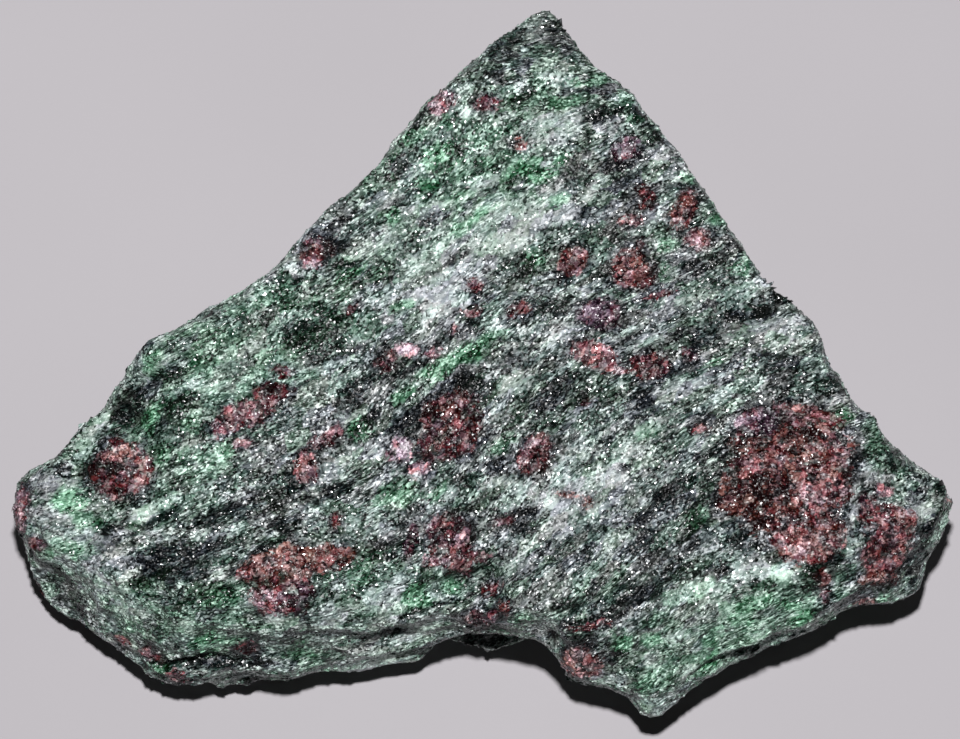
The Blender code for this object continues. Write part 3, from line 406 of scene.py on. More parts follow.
# Bright green patches, in the same terms
EMERALD = {
    "tip": [
        (3.3, 15.0, 2.0, 0.8, 12, 1.0), (4.5, 14.5, 1.2, 0.8, 20, 1.0), (6.4, 15.9, 1.5, 0.45, 25, 0.9),
        (-4.6, 14.0, 1.2, 0.8, 20, 1.0), (-3.9, 16.6, 1.6, 1.2, 30, 0.9),
        (-2.2, 14.9, 1.3, 1.0, 30, 0.75), (-2.3, 13.1, 0.9, 0.5, 20, 0.7),
        (-6.0, 17.7, 1.3, 0.9, 40, 0.8), (-3.2, 19.2, 0.8, 0.6, 0, 0.8), (1.1, 16.3, 1.6, 0.6, 20, 0.6),
        (6.6, 21.0, 2.2, 0.7, 15, 0.7), (8.7, 23.0, 1.6, 0.7, 10, 0.6), (11.6, 21.5, 1.0, 0.8, 0, 0.6),
        (12.5, 19.3, 0.9, 0.6, 0, 0.6),
    ],
    "band": [
        (-0.3, 11.3, 1.5, 0.7, 25, 0.9), (-1.9, 9.6, 0.9, 0.6, 20, 0.8),
        (-7.7, 11.1, 0.9, 0.45, 80, 0.9), (6.6, 12.3, 0.8, 0.5, 30, 0.8),
        (3.8, 7.0, 1.3, 0.8, 90, 0.75), (-10.9, 6.1, 1.6, 0.45, 25, 0.8),
        (-6.8, 3.5, 1.5, 0.5, 15, 0.9), (-12.9, 2.7, 1.8, 0.6, -20, 0.6),
    ],
    "high right": [
        (19.4, 10.9, 0.9, 0.7, 0, 0.7), (21.0, 7.0, 1.5, 1.0, 30, 0.7),
        (17.0, 14.2, 1.0, 0.5, -40, 0.6), (14.8, 6.8, 0.9, 0.5, 80, 0.6), (15.3, 8.7, 0.9, 0.6, 0, 0.7),
    ],
    "centre": [
        (-2.4, -1.1, 3.0, 0.8, 30, 0.85), (-6.5, -4.1, 1.1, 0.6, 25, 0.9),
        (0.6, 0.7, 1.0, 0.6, 10, 0.6), (1.3, 1.0, 0.9, 0.5, 0, 0.6), (1.2, -8.2, 1.5, 0.7, 35, 0.7),
        (-7.0, -12.0, 2.0, 1.3, 20, 0.65), (-3.8, -12.0, 1.3, 0.5, 45, 0.7),
        (-10.1, -7.0, 1.2, 0.7, 80, 0.9), (18.5, -1.6, 1.3, 0.4, 20, 0.7),
        (13.4, -6.9, 1.3, 0.9, 0, 0.5), (17.6, -14.3, 1.6, 0.8, 20, 0.75),
    ],
    "left": [
        (-34.2, -12.3, 2.0, 1.2, -20, 0.9), (-33.0, -13.9, 1.6, 0.8, -20, 0.85),
        (-34.7, -16.1, 2.0, 0.9, 0, 0.5), (-33.0, -16.8, 1.2, 0.8, 0, 0.6),
        (-27.4, -6.1, 1.6, 0.8, 85, 0.95), (-27.2, -4.7, 0.8, 0.5, 0, 0.8),
        (-26.3, -9.4, 1.3, 0.8, 80, 0.7), (-22.5, -8.9, 3.0, 1.0, 10, 0.75),
        (-22.4, -10.4, 2.5, 0.8, 15, 0.6), (-23.8, -7.0, 1.8, 0.9, 0, 0.6),
        (-27.3, -1.4, 1.8, 0.8, 30, 0.7), (-22.5, -1.0, 2.6, 1.0, 40, 0.5),
    ],
    "front": [
        (-17.5, -16.2, 1.2, 0.5, 20, 0.4), (-21.9, -21.0, 2.2, 0.8, 5, 0.6),
        (-26.2, -22.9, 1.1, 0.9, 0, 0.4), (-22.2, -24.1, 2.1, 0.7, 5, 0.75),
        (-27.0, -25.9, 1.6, 0.5, -15, 0.7), (-15.2, -24.5, 1.7, 0.5, 5, 0.7),
        (-10.0, -18.9, 1.5, 1.0, 30, 0.7), (-8.6, -17.2, 1.3, 1.0, 45, 0.6),
        (-5.6, -20.6, 1.2, 1.1, 0, 0.95), (-2.5, -19.4, 1.6, 0.5, 20, 0.7),
        (2.9, -22.5, 1.3, 0.5, 0, 0.6),
    ],
    "horn": [
        (11.4, -24.2, 1.5, 0.8, 10, 0.95), (13.8, -24.1, 1.0, 0.5, 10, 0.8),
        (18.8, -23.9, 1.3, 0.6, 30, 0.9), (18.4, -25.5, 1.3, 0.7, 30, 1.0),
        (14.3, -26.6, 2.6, 1.0, 50, 0.6), (13.9, -22.5, 1.3, 0.6, 30, 0.5),
        (16.7, -20.3, 2.3, 0.9, 20, 0.6), (22.3, -21.1, 1.7, 0.8, 15, 0.9),
        (24.4, -21.3, 1.6, 0.6, 5, 0.9), (28.3, -21.7, 1.1, 0.7, 0, 1.0),
        (26.0, -22.1, 1.3, 0.8, 0, 1.0), (21.0, -22.5, 1.1, 0.7, 0, 0.8),
    ],
    "right": [
        (29.0, -5.9, 1.1, 0.8, 0, 0.8), (32.5, -8.5, 2.6, 1.5, -40, 0.4),
        (34.4, -15.8, 0.6, 0.35, 80, 0.8), (33.3, -20.2, 1.1, 0.4, 0, 0.6),
    ],
    "broad fields": [
        (-1.0, 17.0, 9.0, 6.0, 35, 0.35), (-19.0, 0.0, 11.0, 5.0, 30, 0.35),
        (-27.0, -9.0, 9.0, 6.0, 15, 0.3), (-16.0, -20.0, 16.0, 3.0, 8, 0.3),
        (21.0, -22.5, 11.0, 3.5, 30, 0.35),
    ],
}
# How far a patch reaches down the sides, as a share of its half length and at the least
PATCH_DEPTH = 1.1
LEAST_DEPTH = 0.6
# A height above all of the stone, and that of a patch whose middle lies just outside it
HIGH_ABOVE = 60.0
RIM_HEIGHT = 9.0
# How the patches' edges stray: the waves' length, how far they reach, and their seed
RAGGED_EDGES = [(2.4, 0.35, 31), (0.8, 0.20, 41)]

# Garnets, and as many dark, pale and bright green knots each, below the face that the photograph shows
HIDDEN_GARNETS = 80
HIDDEN_KNOTS = 40
HIDDEN_FROM = (-38, -29, 0)
HIDDEN_TO = (38, 28, 5)

# Cracks along the front: the points of each and its half width. They are sunk into the skin, and their
# darkening is painted shade
CRACK_EDGE = 0.30
CRACK_DEPTH = 0.5
CRACKS = {
    "left seam": (
        [(-28.7, -19.9), (-26.8, -20.7), (-24.5, -21.1), (-22.1, -20.9), (-20.6, -20.6)], 0.10,
    ),
    "front seam": ([(-28.6, -25.0), (-26.5, -25.6), (-24.7, -25.3), (-19.5, -25.3)], 0.15),
    "step": ([(-7.0, -22.8), (-4.9, -21.7), (-3.0, -21.0), (-0.4, -19.9)], 0.10),
    "step lower": ([(0.0, -21.8), (1.0, -22.4), (2.0, -23.2)], 0.12),
    "notch roof": ([(5.3, -23.5), (7.0, -22.8), (8.8, -22.2), (10.5, -21.8)], 0.14),
    "fold left": ([(-28.2, -14.8), (-26.6, -13.9), (-25.1, -13.2)], 0.08),
    "fold": ([(-23.5, -14.7), (-22.0, -14.3), (-20.6, -13.9)], 0.10),
}

# The brightness of the green rock, from 0 to 1, and what each part of the mix adds to it. A rim is the
# dark shell around a garnet, and grain is the difference from one grain to the next. The side term is
# painted light on side faces, and the crack term is painted shade in the cracks
TONE = {
    "plain": 0.445, "side": 0.15, "pale": 0.36, "dark": -0.50, "rim": -0.20, "crack": -0.9,
    "grain": 0.07,
}
# How much each kind of noise changes it, from broad to fine
LOOSE_TONE = {"clouds": 0.05, "bands": 0.11, "streaks": 0.15, "blotches": 0.15}
# The same for how green the rock is, and for the brightness of its garnets: own is the table's tone.
# The side term adds green to side faces along with the painted light
GREEN = {
    "plain": 0.19, "side": 0.12, "emerald": 0.68, "noise": 0.12, "pale": -0.05, "dark": -0.10,
    "rim": -0.2,
}
RED_TONE = {
    "plain": 0.31, "own": 1.4, "noise": 0.20, "blotches": 0.24, "dark": -0.22, "pale": 0.1,
    "edge": -0.14, "grain": 0.07,
}

# How much pale rock takes from the noise and from the fibres
PALE_CALM = 0.7


def scene_object(name, data):
    """An object for a mesh, a light or a camera, linked to the scene."""
    made = bpy.data.objects.new(name, data)
    bpy.context.scene.collection.objects.link(made)
    return made


# Noise and directions

# How far apart the seeds' places lie, in grains, and what brings the noise to about -1 to 1
SEED_STEP = 17.3
NOISE_GAIN = 1.7
RANDOM_TABLE = np.random.default_rng(11)
SHUFFLE = RANDOM_TABLE.permutation(256)
GRADIENTS = RANDOM_TABLE.normal(size=(256, 3))
GRADIENTS /= np.linalg.norm(GRADIENTS, axis=1, keepdims=True)
CORNERS = [(i, j, k) for i in (0, 1) for j in (0, 1) for k in (0, 1)]


def noise(points, size, seed=0):
    """Smooth gradient noise of that grain size, about -1 to 1, at each point."""
    at = points / size + seed * SEED_STEP
    cell = np.floor(at).astype(np.int64)
    inside = at - cell
    eased = inside ** 3 * (inside * (inside * 6 - 15) + 10)
    total = np.zeros(len(points))
    for corner in CORNERS:
        corner = np.array(corner)
        x, y, z = ((cell + corner) & 255).T
        pick = SHUFFLE[(SHUFFLE[(SHUFFLE[x] + y) & 255] + z) & 255]
        slope = ((inside - corner) * GRADIENTS[pick]).sum(1)
        share = np.where(corner == 1, eased, 1 - eased).prod(1)
        total += slope * share
    return total * NOISE_GAIN


def layered_noise(points, size, seed=0, layers=3):
    """Noise with finer, weaker layers added."""
    total = np.zeros(len(points))
    for layer in range(layers):
        total += noise(points, size / 2 ** layer, seed + layer) / 2 ** layer
    return total / 1.5


def smooth_step(value, low, high):
    """0 below low, 1 above high, and eased between them."""
    share = np.clip((value - low) / (high - low), 0, 1)
    return share * share * (3 - 2 * share)


def streak_angle(points):
    """The direction of the streaks at each point, in radians, blended from those read on the face."""
    total = np.zeros((len(points), 2))
    for x, y, degrees in STREAKS.values():
        near = ((points[:, 0] - x) ** 2 + (points[:, 1] - y) ** 2) / STREAK_BLEND ** 2
        weight = np.exp(-near) + 1e-6
        total[:, 0] += weight * math.cos(2 * math.radians(degrees))
        total[:, 1] += weight * math.sin(2 * math.radians(degrees))
    return 0.5 * np.arctan2(total[:, 1], total[:, 0])


def streak_direction(points):
    """The same as a level unit vector."""
    angle = streak_angle(points)
    return np.column_stack([np.cos(angle), np.sin(angle), np.zeros(len(points))])


class Foliation:
    """Smooth coordinates along and across the streaks, in millimetres, found once on a flat grid."""

    def __init__(self):
        self.places = np.arange(-GRID_REACH, GRID_REACH, GRID_STEP)
        east, north = np.meshgrid(self.places, self.places, indexing="ij")
        flat = np.column_stack([east.ravel(), north.ravel(), np.zeros(east.size)])
        angle = streak_angle(flat).reshape(east.shape)
        fade = smooth_step(GRID_REACH - np.hypot(east, north), 0.0, 0.4 * GRID_REACH)
        waves = 2 * np.pi * np.fft.fftfreq(len(self.places), GRID_STEP)
        wave_east, wave_north = np.meshgrid(waves, waves, indexing="ij")
        square = wave_east ** 2 + wave_north ** 2
        square[0, 0] = 1.0
        self.grids = []
        for turn in (0.0, 0.5 * np.pi):
            slope_east = np.cos(angle + turn)
            slope_north = np.sin(angle + turn)
            mean_east = (slope_east * fade).sum() / fade.sum()
            mean_north = (slope_north * fade).sum() / fade.sum()
            change_east = np.fft.fft2((slope_east - mean_east) * fade)
            change_north = np.fft.fft2((slope_north - mean_north) * fade)
            height = -1j * (wave_east * change_east + wave_north * change_north) / square
            self.grids.append(np.fft.ifft2(height).real + mean_east * east + mean_north * north)

    def at(self, points):
        """Distance along the streaks, distance across them and height."""
        cell = (points[:, :2] + GRID_REACH) / GRID_STEP
        corner = np.floor(cell).astype(int)
        share = cell - corner
        i, j = corner.T
        read = []
        for grid in self.grids:
            low = grid[i, j] * (1 - share[:, 0]) + grid[i + 1, j] * share[:, 0]
            high = grid[i, j + 1] * (1 - share[:, 0]) + grid[i + 1, j + 1] * share[:, 0]
            read.append(low * (1 - share[:, 1]) + high * share[:, 1])
        return np.column_stack([*read, points[:, 2]])

    def streaks(self, points, width, stretch, seed, layers=2):
        """Noise of that width, drawn out along the streaks."""
        return layered_noise(self.at(points) / (stretch, 1, 1), width, seed, layers)


# Patches

def warped(points):
    """The points moved about a little, so that the patches have ragged edges."""
    shift = [
        sum(noise(points, length, seed + axis) * reach for length, reach, seed in RAGGED_EDGES)
        for axis in range(3)
    ]
    return points + np.column_stack(shift)


def patch_level(points, x, y, z, long, wide, turn):
    """1 in the middle of a patch, 0 at its rim and negative outside."""
    turn = math.radians(turn)
    east = points[:, 0] - x
    north = points[:, 1] - y
    along = (east * math.cos(turn) + north * math.sin(turn)) / long
    across = (north * math.cos(turn) - east * math.sin(turn)) / wide
    down = (points[:, 2] - z) / (PATCH_DEPTH * long + LEAST_DEPTH)
    return 1 - np.sqrt(along ** 2 + across ** 2 + down ** 2)


def surface_height(solid, x, y):
    """The height of the solid's upper face over a place."""
    above = Vector((x, y, HIGH_ABOVE)) * MM
    found = solid.ray_cast(above, Vector((0, 0, -1)))[0]
    return found.z / MM if found else RIM_HEIGHT


class Rock:
    """What the stone is made of at any point of its surface."""

    def __init__(self, solid, foliation):
        self.foliation = foliation
        self.dark = self.placed(solid, DARK)
        self.pale = self.placed(solid, PALE_AND_GLINTS)
        self.emerald = self.placed(solid, EMERALD)
        dice = np.random.default_rng(5)
        self.garnets = [
            (*self.hidden(dice, 0.9, 2.6), dice.uniform(-0.1, 0.12), dice.uniform(-0.5, 0.7))
            for _ in range(HIDDEN_GARNETS)
        ]
        self.garnets += self.placed(solid, GARNETS)
        for knots in (self.dark, self.pale, self.emerald):
            for _ in range(HIDDEN_KNOTS):
                knots.append((*self.hidden(dice, 1.2, 3.4), dice.uniform(0.5, 1.0)))

    @staticmethod
    def placed(solid, parts):
        """The patches of all parts of the face, each with its height on the solid."""
        patches = [patch for part in parts.values() for patch in part]
        return [(x, y, surface_height(solid, x, y), *rest) for x, y, *rest in patches]

    @staticmethod
    def hidden(dice, small, large):
        """The place, size and turn of a patch below the face that shows."""
        x, y, z = dice.uniform(HIDDEN_FROM, HIDDEN_TO)
        long = small + (large - small) * dice.random() ** 2
        wide = long * dice.uniform(0.45, 0.95)
        return x, y, z, long, wide, dice.uniform(0, 60)

    def nearest_garnets(self, points):
        """How deep in a garnet each point is, negative outside, and that garnet's tone and warmth."""
        depth = np.full(len(points), -9.0)
        own_tone = np.zeros(len(points))
        warmth = np.zeros(len(points))
        for x, y, z, long, wide, turn, tone, warm in self.garnets:
            level = patch_level(points, x, y, z, long, wide, turn) * min(long, 2.4)
            over = (level > 0) | (level > depth)
            depth = np.maximum(depth, level)
            own_tone = np.where(over, tone, own_tone)
            warmth = np.where(over, warm, warmth)
        return depth, own_tone, warmth

    def at(self, points, normals, seed):
        """What the rock is at each point, as a dictionary of arrays."""
        moved = warped(points)
        dice = np.random.default_rng(seed)
        count = len(points)
        up = normals[:, 2]
        shown = smooth_step(up, 0.1, 0.5) * smooth_step(points[:, 2], 3.0, 7.0)
        # Side faces, which get painted light in tone and green where the lamps barely reach them
        side = smooth_step(up, -0.5, 0.1) * (1 - smooth_step(up, 0.35, 0.9))
        garnet, own_tone, warmth = self.nearest_garnets(moved)
        garnet = garnet + 0.16 * layered_noise(points, size=1.3, seed=51)
        rim = smooth_step(garnet, -0.8, -0.1) * (1 - smooth_step(garnet, -0.1, 0.1))
        bands = self.foliation.streaks(points, width=1.7, stretch=6, seed=61)
        streaks = self.foliation.streaks(points, width=0.62, stretch=5, seed=62)
        clouds = layered_noise(points, size=5.0, seed=64)
        blotches = layered_noise(points, size=1.2, seed=65, layers=4)
        fray = 0.40 * streaks + 0.40 * blotches
        dark = self.strongest(moved, self.dark, -fray)
        # pale holds the milky patches and also the painted highlights of white glints
        pale = self.strongest(moved, self.pale, fray)
        emerald = self.strongest(moved, self.emerald, 0.7 * layered_noise(points, size=1.6, seed=66))
        crack = self.crack_level(points) * shown
        calm = 1 - PALE_CALM * pale

        loose = LOOSE_TONE["bands"] * bands + LOOSE_TONE["streaks"] * streaks
        loose = loose + LOOSE_TONE["clouds"] * clouds + LOOSE_TONE["blotches"] * blotches
        # The side term lifts side faces with painted light
        tone = TONE["plain"] + TONE["side"] * side + loose * calm + TONE["pale"] * pale
        # The crack term darkens the cracks with painted shade
        tone = tone + TONE["dark"] * dark + TONE["rim"] * rim + TONE["crack"] * crack
        tone = tone + TONE["grain"] * dice.normal(size=count)

        # The side term adds green to side faces with the painted light
        green = GREEN["plain"] + GREEN["side"] * side + GREEN["emerald"] * emerald
        green = green + GREEN["noise"] * layered_noise(points, size=2.6, seed=68)
        green = green + GREEN["pale"] * pale + GREEN["dark"] * dark + GREEN["rim"] * rim
        green = green * (1 - 0.6 * smooth_step(garnet, -0.2, 0.2))

        red_tone = RED_TONE["plain"] + RED_TONE["own"] * own_tone
        red_tone = red_tone + RED_TONE["noise"] * layered_noise(points, size=1.6, seed=70)
        red_tone = red_tone + RED_TONE["blotches"] * blotches + RED_TONE["dark"] * dark
        red_tone = red_tone + RED_TONE["pale"] * pale
        red_tone = red_tone + RED_TONE["edge"] * (1 - smooth_step(garnet, 0.0, 0.7))
        red_tone = red_tone + RED_TONE["grain"] * dice.normal(size=count)

        fibrous = smooth_step(layered_noise(points, size=4.5, seed=69), -0.15, 0.45)
        fibrous = np.maximum(fibrous, 0.5 * dark) * calm * smooth_step(-garnet, 0.0, 0.6)
        return {
            "tone": np.clip(tone, 0, 1),
            "green": np.clip(green, 0, 1),
            "garnet": np.clip(0.5 + 0.9 * garnet, 0, 1),
            "red_tone": np.clip(red_tone, 0, 1),
            "warm": np.clip(0.5 + 0.42 * warmth, 0, 1),
            "fibrous": np.clip(fibrous, 0, 1),
            "even": np.clip(1.1 * pale, 0, 1),
            "garnet_depth": garnet,
            "crack": crack,
            "shown": shown,
        }

    @staticmethod
    def crack_level(points):
        """1 in the cracks and 0 away from them."""
        most = np.zeros(len(points))
        moved = warped(points)
        for line, half_width in CRACKS.values():
            near = distance_to_line(moved, line)
            most = np.maximum(most, 1 - smooth_step(near, half_width, half_width + CRACK_EDGE))
        return most

    @staticmethod
    def strongest(points, patches, fray):
        """The strongest patch at each point, fading over a frayed rim."""
        most = np.zeros(len(points))
        for x, y, z, long, wide, turn, strength in patches:
            level = smooth_step(patch_level(points, x, y, z, long, wide, turn) + fray, -0.15, 0.35)
            most = np.maximum(most, level * strength)
        return most


# Meshes

MINERAL_VALUES = ("tone", "green", "garnet", "red_tone", "warm", "fibrous", "even")


def coordinates(mesh):
    """The place of each vertex, in millimetres."""
    values = np.empty(len(mesh.vertices) * 3)
    mesh.vertices.foreach_get("co", values)
    return values.reshape(-1, 3) / MM


def vertex_normals(mesh):
    values = np.empty(len(mesh.vertices) * 3)
    mesh.vertex_normals.foreach_get("vector", values)
    return values.reshape(-1, 3)


def triangles(mesh):
    mesh.calc_loop_triangles()
    values = np.empty(len(mesh.loop_triangles) * 3, np.int64)
    mesh.loop_triangles.foreach_get("vertices", values)
    return values.reshape(-1, 3)


def store(mesh, name, values, domain):
    """A number for each vertex or face, which the materials read."""
    attribute = mesh.attributes.new(name, "FLOAT", domain)
    attribute.data.foreach_set("value", np.asarray(values, np.float32))


def store_flow(mesh, foliation):
    """The place of each vertex along and across the streaks, which the materials read."""
    attribute = mesh.attributes.new("flow", "FLOAT_VECTOR", "POINT")
    attribute.data.foreach_set("vector", foliation.at(coordinates(mesh)).astype(np.float32).ravel())


def distance_to_line(points, line):
    """How far each point is from a bent line, seen from above."""
    nearest = np.full(len(points), 1e9)
    for (x0, y0), (x1, y1) in zip(line, line[1:]):
        run = np.array([x1 - x0, y1 - y0])
        rest = points[:, :2] - (x0, y0)
        share = np.clip(rest @ run / (run @ run), 0, 1)
        nearest = np.minimum(nearest, np.hypot(*(rest - share[:, None] * run).T))
    return nearest


def kept_inside(points, low, high):
    """The points moved in where they would pass the solid's box."""
    return np.clip(points, np.array(low) + BOX_MARGIN, np.array(high) - BOX_MARGIN)


def remeshed(source):
    """An even mesh over a CAD node, as an object of its own."""
    skin = scene_object("eclogite_rock", source.data.copy())
    remesh = skin.modifiers.new("even mesh", "REMESH")
    remesh.mode = "VOXEL"
    remesh.voxel_size = SKIN_VOXEL * MM
    remesh.use_smooth_shade = True
    smooth = skin.modifiers.new("soften", "SMOOTH")
    smooth.factor = 0.5
    smooth.iterations = 2
    shape = bpy.data.meshes.new_from_object(skin.evaluated_get(bpy.context.evaluated_depsgraph_get()))
    skin.modifiers.clear()
    skin.data = shape
    return skin


def make_skin(source, rock, low, high):
    """The stone's skin, with its fine relief and the mineral values that its material reads."""
    skin = remeshed(source)
    mesh = skin.data
    points = coordinates(mesh)
    normals = vertex_normals(mesh)
    mix = rock.at(points, normals, 71)
    lumps = LUMPS * rock.foliation.streaks(points, width=1.6, stretch=2.2, seed=75)
    splinters = SPLINTERS * rock.foliation.streaks(points, width=0.5, stretch=4, seed=72)
    roughness = ROUGHNESS * layered_noise(points, size=0.9, seed=73)
    knobs = noise(points, size=0.55, seed=74) * GARNET_KNOBS
    relief = lumps + (splinters + roughness) * (1 - 0.4 * mix["even"])
    relief = relief + knobs * smooth_step(mix["garnet_depth"], -0.1, 0.1)
    relief = relief - CRACK_DEPTH * mix["crack"]
    moved = points + normals * (np.clip(relief, SKIN_DEEPEST, SKIN_INSET) - SKIN_INSET)[:, None]
    mesh.vertices.foreach_set("co", (kept_inside(moved, low, high) * MM).ravel())
    mesh.update()
    for name in MINERAL_VALUES:
        store(mesh, name, mix[name], "POINT")
    store_flow(mesh, rock.foliation)
    return skin


def grain_density(facing):
    """Grains for each square millimetre, from how far a face looks up."""
    top = smooth_step(facing, 0.35, 0.75)
    under = smooth_step(-facing, 0.45, 0.8)
    return SIDE_GRAINS * (1 - top - under) + TOP_GRAINS * top + UNDER_GRAINS * under


def scattered(mesh, seed):
    """Points spread over a mesh, with the surface's direction there."""
    points = coordinates(mesh)
    normals = vertex_normals(mesh)
    faces = triangles(mesh)
    corners = points[faces]
    cross = np.cross(corners[:, 1] - corners[:, 0], corners[:, 2] - corners[:, 0])
    area = 0.5 * np.linalg.norm(cross, axis=1)
    facing = cross[:, 2] / (2 * area + 1e-12)
    dice = np.random.default_rng(seed)
    wanted = area * grain_density(facing)
    count = np.floor(wanted + dice.random(len(area))).astype(int)
    chosen = np.repeat(np.arange(len(area)), count)
    share = dice.dirichlet((1, 1, 1), len(chosen))
    at = (corners[chosen] * share[:, :, None]).sum(1)
    up = (normals[faces[chosen]] * share[:, :, None]).sum(1)
    return at, up / np.linalg.norm(up, axis=1, keepdims=True)


def turned(first, second, angle):
    """Two unit directions turned in their own plane."""
    cos = np.cos(angle)[:, None]
    sin = np.sin(angle)[:, None]
    return first * cos + second * sin, second * cos - first * sin


BLADE_FACES = np.array([
    (0, 3, 2), (0, 2, 1),
    (0, 1, 5), (0, 5, 4),
    (2, 3, 4), (2, 4, 5),
    (1, 2, 5), (3, 0, 4),
])
PLAN_REACH = 0.7


def blades(at, along, across, up, length, width, height, dice):
    """Closed crystals of 8 triangles: four corners sunk in the rock, and a ridge of two points.

    Gives their corners, and where these lie in plan, as shares of length and width within PLAN_REACH.
    """
    count = len(at)
    # The corners' places along and across the crystal, each then moved a little
    ends = np.array([-0.5, 0.5, 0.5, -0.5, -0.5, 0.5])
    sides = np.array([-0.5, -0.5, 0.5, 0.5, 0.0, 0.0])
    forward = ends + dice.uniform(-0.16, 0.16, (count, 6))
    forward[:, 4:] *= dice.uniform(0.35, 0.85, (count, 2))
    sideways = sides + dice.uniform(-0.20, 0.20, (count, 6))
    sideways[:, 4:] += dice.uniform(-0.42, 0.42, (count, 1))
    rise = np.full((count, 6), -GRAIN_SINK)
    rise[:, 4:] = height[:, None] * dice.uniform(0.55, 1.25, (count, 2))
    corners = (
        at[:, None]
        + along[:, None] * (forward * length[:, None])[:, :, None]
        + across[:, None] * (sideways * width[:, None])[:, :, None]
        + up[:, None] * rise[:, :, None]
    )
    return corners, np.stack([forward, sideways], 2)


def blade_mesh(name, corners, plan, values):
    """One mesh of many blades, each with its own mineral values and its own cell of the map."""
    count = len(corners)
    faces = (BLADE_FACES[None] + 6 * np.arange(count)[:, None, None]).reshape(-1, 3)
    mesh = bpy.data.meshes.new(name)
    mesh.vertices.add(count * 6)
    mesh.vertices.foreach_set("co", (corners * MM).ravel())
    mesh.loops.add(faces.size)
    mesh.loops.foreach_set("vertex_index", faces.ravel())
    mesh.polygons.add(len(faces))
    mesh.polygons.foreach_set("loop_start", np.arange(0, faces.size, 3))
    mesh.update(calc_edges=True)
    mesh.validate()
    for key, numbers in values.items():
        store(mesh, key, np.repeat(numbers, len(BLADE_FACES)), "FACE")
    middles = np.stack(np.divmod(np.arange(count), MAP_CELLS), 1) + 0.5
    spots = (middles[:, None] + plan * (0.5 - CELL_MARGIN) / PLAN_REACH) / MAP_CELLS
    layout = mesh.uv_layers.new(name="OFBake")
    layout.data.foreach_set("uv", spots.reshape(-1, 2)[faces.ravel()].astype(np.float32).ravel())
    return mesh


def grain_axes(at, up, kind, dice):
    """The directions along, across and up each grain, and how flat the streaks lie in the surface."""
    count = len(at)
    grain = streak_direction(at)
    flat = grain - up * (grain * up).sum(1)[:, None]
    lying = np.linalg.norm(flat, axis=1)
    along = flat / (lying[:, None] + 1e-9)
    across = np.cross(up, along)
    along, across = turned(along, across, dice.normal(0, 1, count) * GRAIN_HEADING[kind])
    along, up = turned(along, up, dice.normal(0, 1, count) * GRAIN_PITCH[kind])
    across, up = turned(across, up, dice.normal(0, 1, count) * GRAIN_ROLL[kind])
    return along, across, up, lying


def make_grains(skin, rock, low, high, material):
    """The crystals that the rock is made of, standing a little proud of the skin."""
    at, up = scattered(skin.data, 81)
    mix = rock.at(at, up, 83)
    whole = mix["crack"] < 0.15
    at = at[whole]
    up = up[whole]
    mix = {key: numbers[whole] for key, numbers in mix.items()}
    dice = np.random.default_rng(82)
    count = len(at)
    flake = dice.random(count) < FLAKE_SHARE
    blade = dice.random(count) < BLADE_SHARE + FIBROUS_BLADES * mix["fibrous"]
    kinds = [mix["garnet_depth"] > 0, flake, blade]
    kind = np.select(kinds, [GARNET_GRAIN, FLAKE, BLADE], PLAIN_GRAIN)
    along, across, up, lying = grain_axes(at, up, kind, dice)

    # Long crystals are shorter where the streaks run into the surface, and all lie flat on steep places
    level_place = smooth_step(np.abs(up[:, 2]), 0.35, 0.9)
    steady = (0.45 + 0.55 * lying) * (0.25 + 0.75 * level_place)
    steady = np.where((kind == FLAKE) | (kind == BLADE), steady, 1.0)
    fine = np.exp(dice.normal(0, 0.28, count)) * (1 + 0.15 * (1 - mix["shown"]))
    length = fine * (GRAIN_LENGTH[kind] * steady)
    width = fine * GRAIN_WIDTH[kind] * np.exp(dice.normal(0, 0.2, count))
    height = fine ** 0.5 * GRAIN_HEIGHT[kind] * (1 - 0.5 * mix["even"])
    height = height * (0.5 + 0.5 * level_place)
    corners, plan = blades(at, along, across, up, length, width, height, dice)
    corners = kept_inside(corners.reshape(-1, 3), low, high).reshape(corners.shape)

    values = {key: mix[key] for key in MINERAL_VALUES}
    garnet_polish = GARNET_POLISH * (dice.random(count) < POLISHED_GARNETS)
    blade_polish = BLADE_POLISH * (dice.random(count) < POLISHED_BLADES)
    values["polish"] = np.select(kinds, [garnet_polish, 1.0, blade_polish], 0.0)
    order = np.argsort(dice.random(count))
    pieces = []
    for number, start in enumerate(range(0, count, GRAINS_IN_A_PIECE)):
        these = order[start:start + GRAINS_IN_A_PIECE]
        name = f"crystal_grains_{number + 1}"
        own = {key: numbers[these] for key, numbers in values.items()}
        mesh = blade_mesh(name, corners[these], plan[these], own)
        store_flow(mesh, rock.foliation)
        mesh.materials.append(material)
        pieces.append(scene_object(name, mesh))
    return pieces


# Materials

def new_group(name, inputs, outputs):
    """An empty shader node group with these sockets."""
    group = bpy.data.node_groups.new(name, "ShaderNodeTree")
    for label, kind, value in inputs:
        socket = group.interface.new_socket(label, in_out="INPUT", socket_type=kind)
        socket.default_value = value
    for label, kind in outputs:
        group.interface.new_socket(label, in_out="OUTPUT", socket_type=kind)
    start = group.nodes.new("NodeGroupInput")
    end = group.nodes.new("NodeGroupOutput")
    return group, start.outputs, end.inputs


def add(tree, kind, inputs=(), **settings):
    """A node with its settings, and its inputs set or linked by name or number."""
    node = tree.nodes.new(kind)
    for key, value in settings.items():
        setattr(node, key, value)
    for key, value in dict(inputs).items():
        if isinstance(value, bpy.types.NodeSocket):
            tree.links.new(value, node.inputs[key])
        else:
            node.inputs[key].default_value = value
    return node


def math_node(tree, operation, first, second, clamp=False):
    inputs = {0: first, 1: second}
    return add(tree, "ShaderNodeMath", inputs, operation=operation, use_clamp=clamp).outputs[0]


def product(tree, first, second):
    return math_node(tree, "MULTIPLY", first, second)


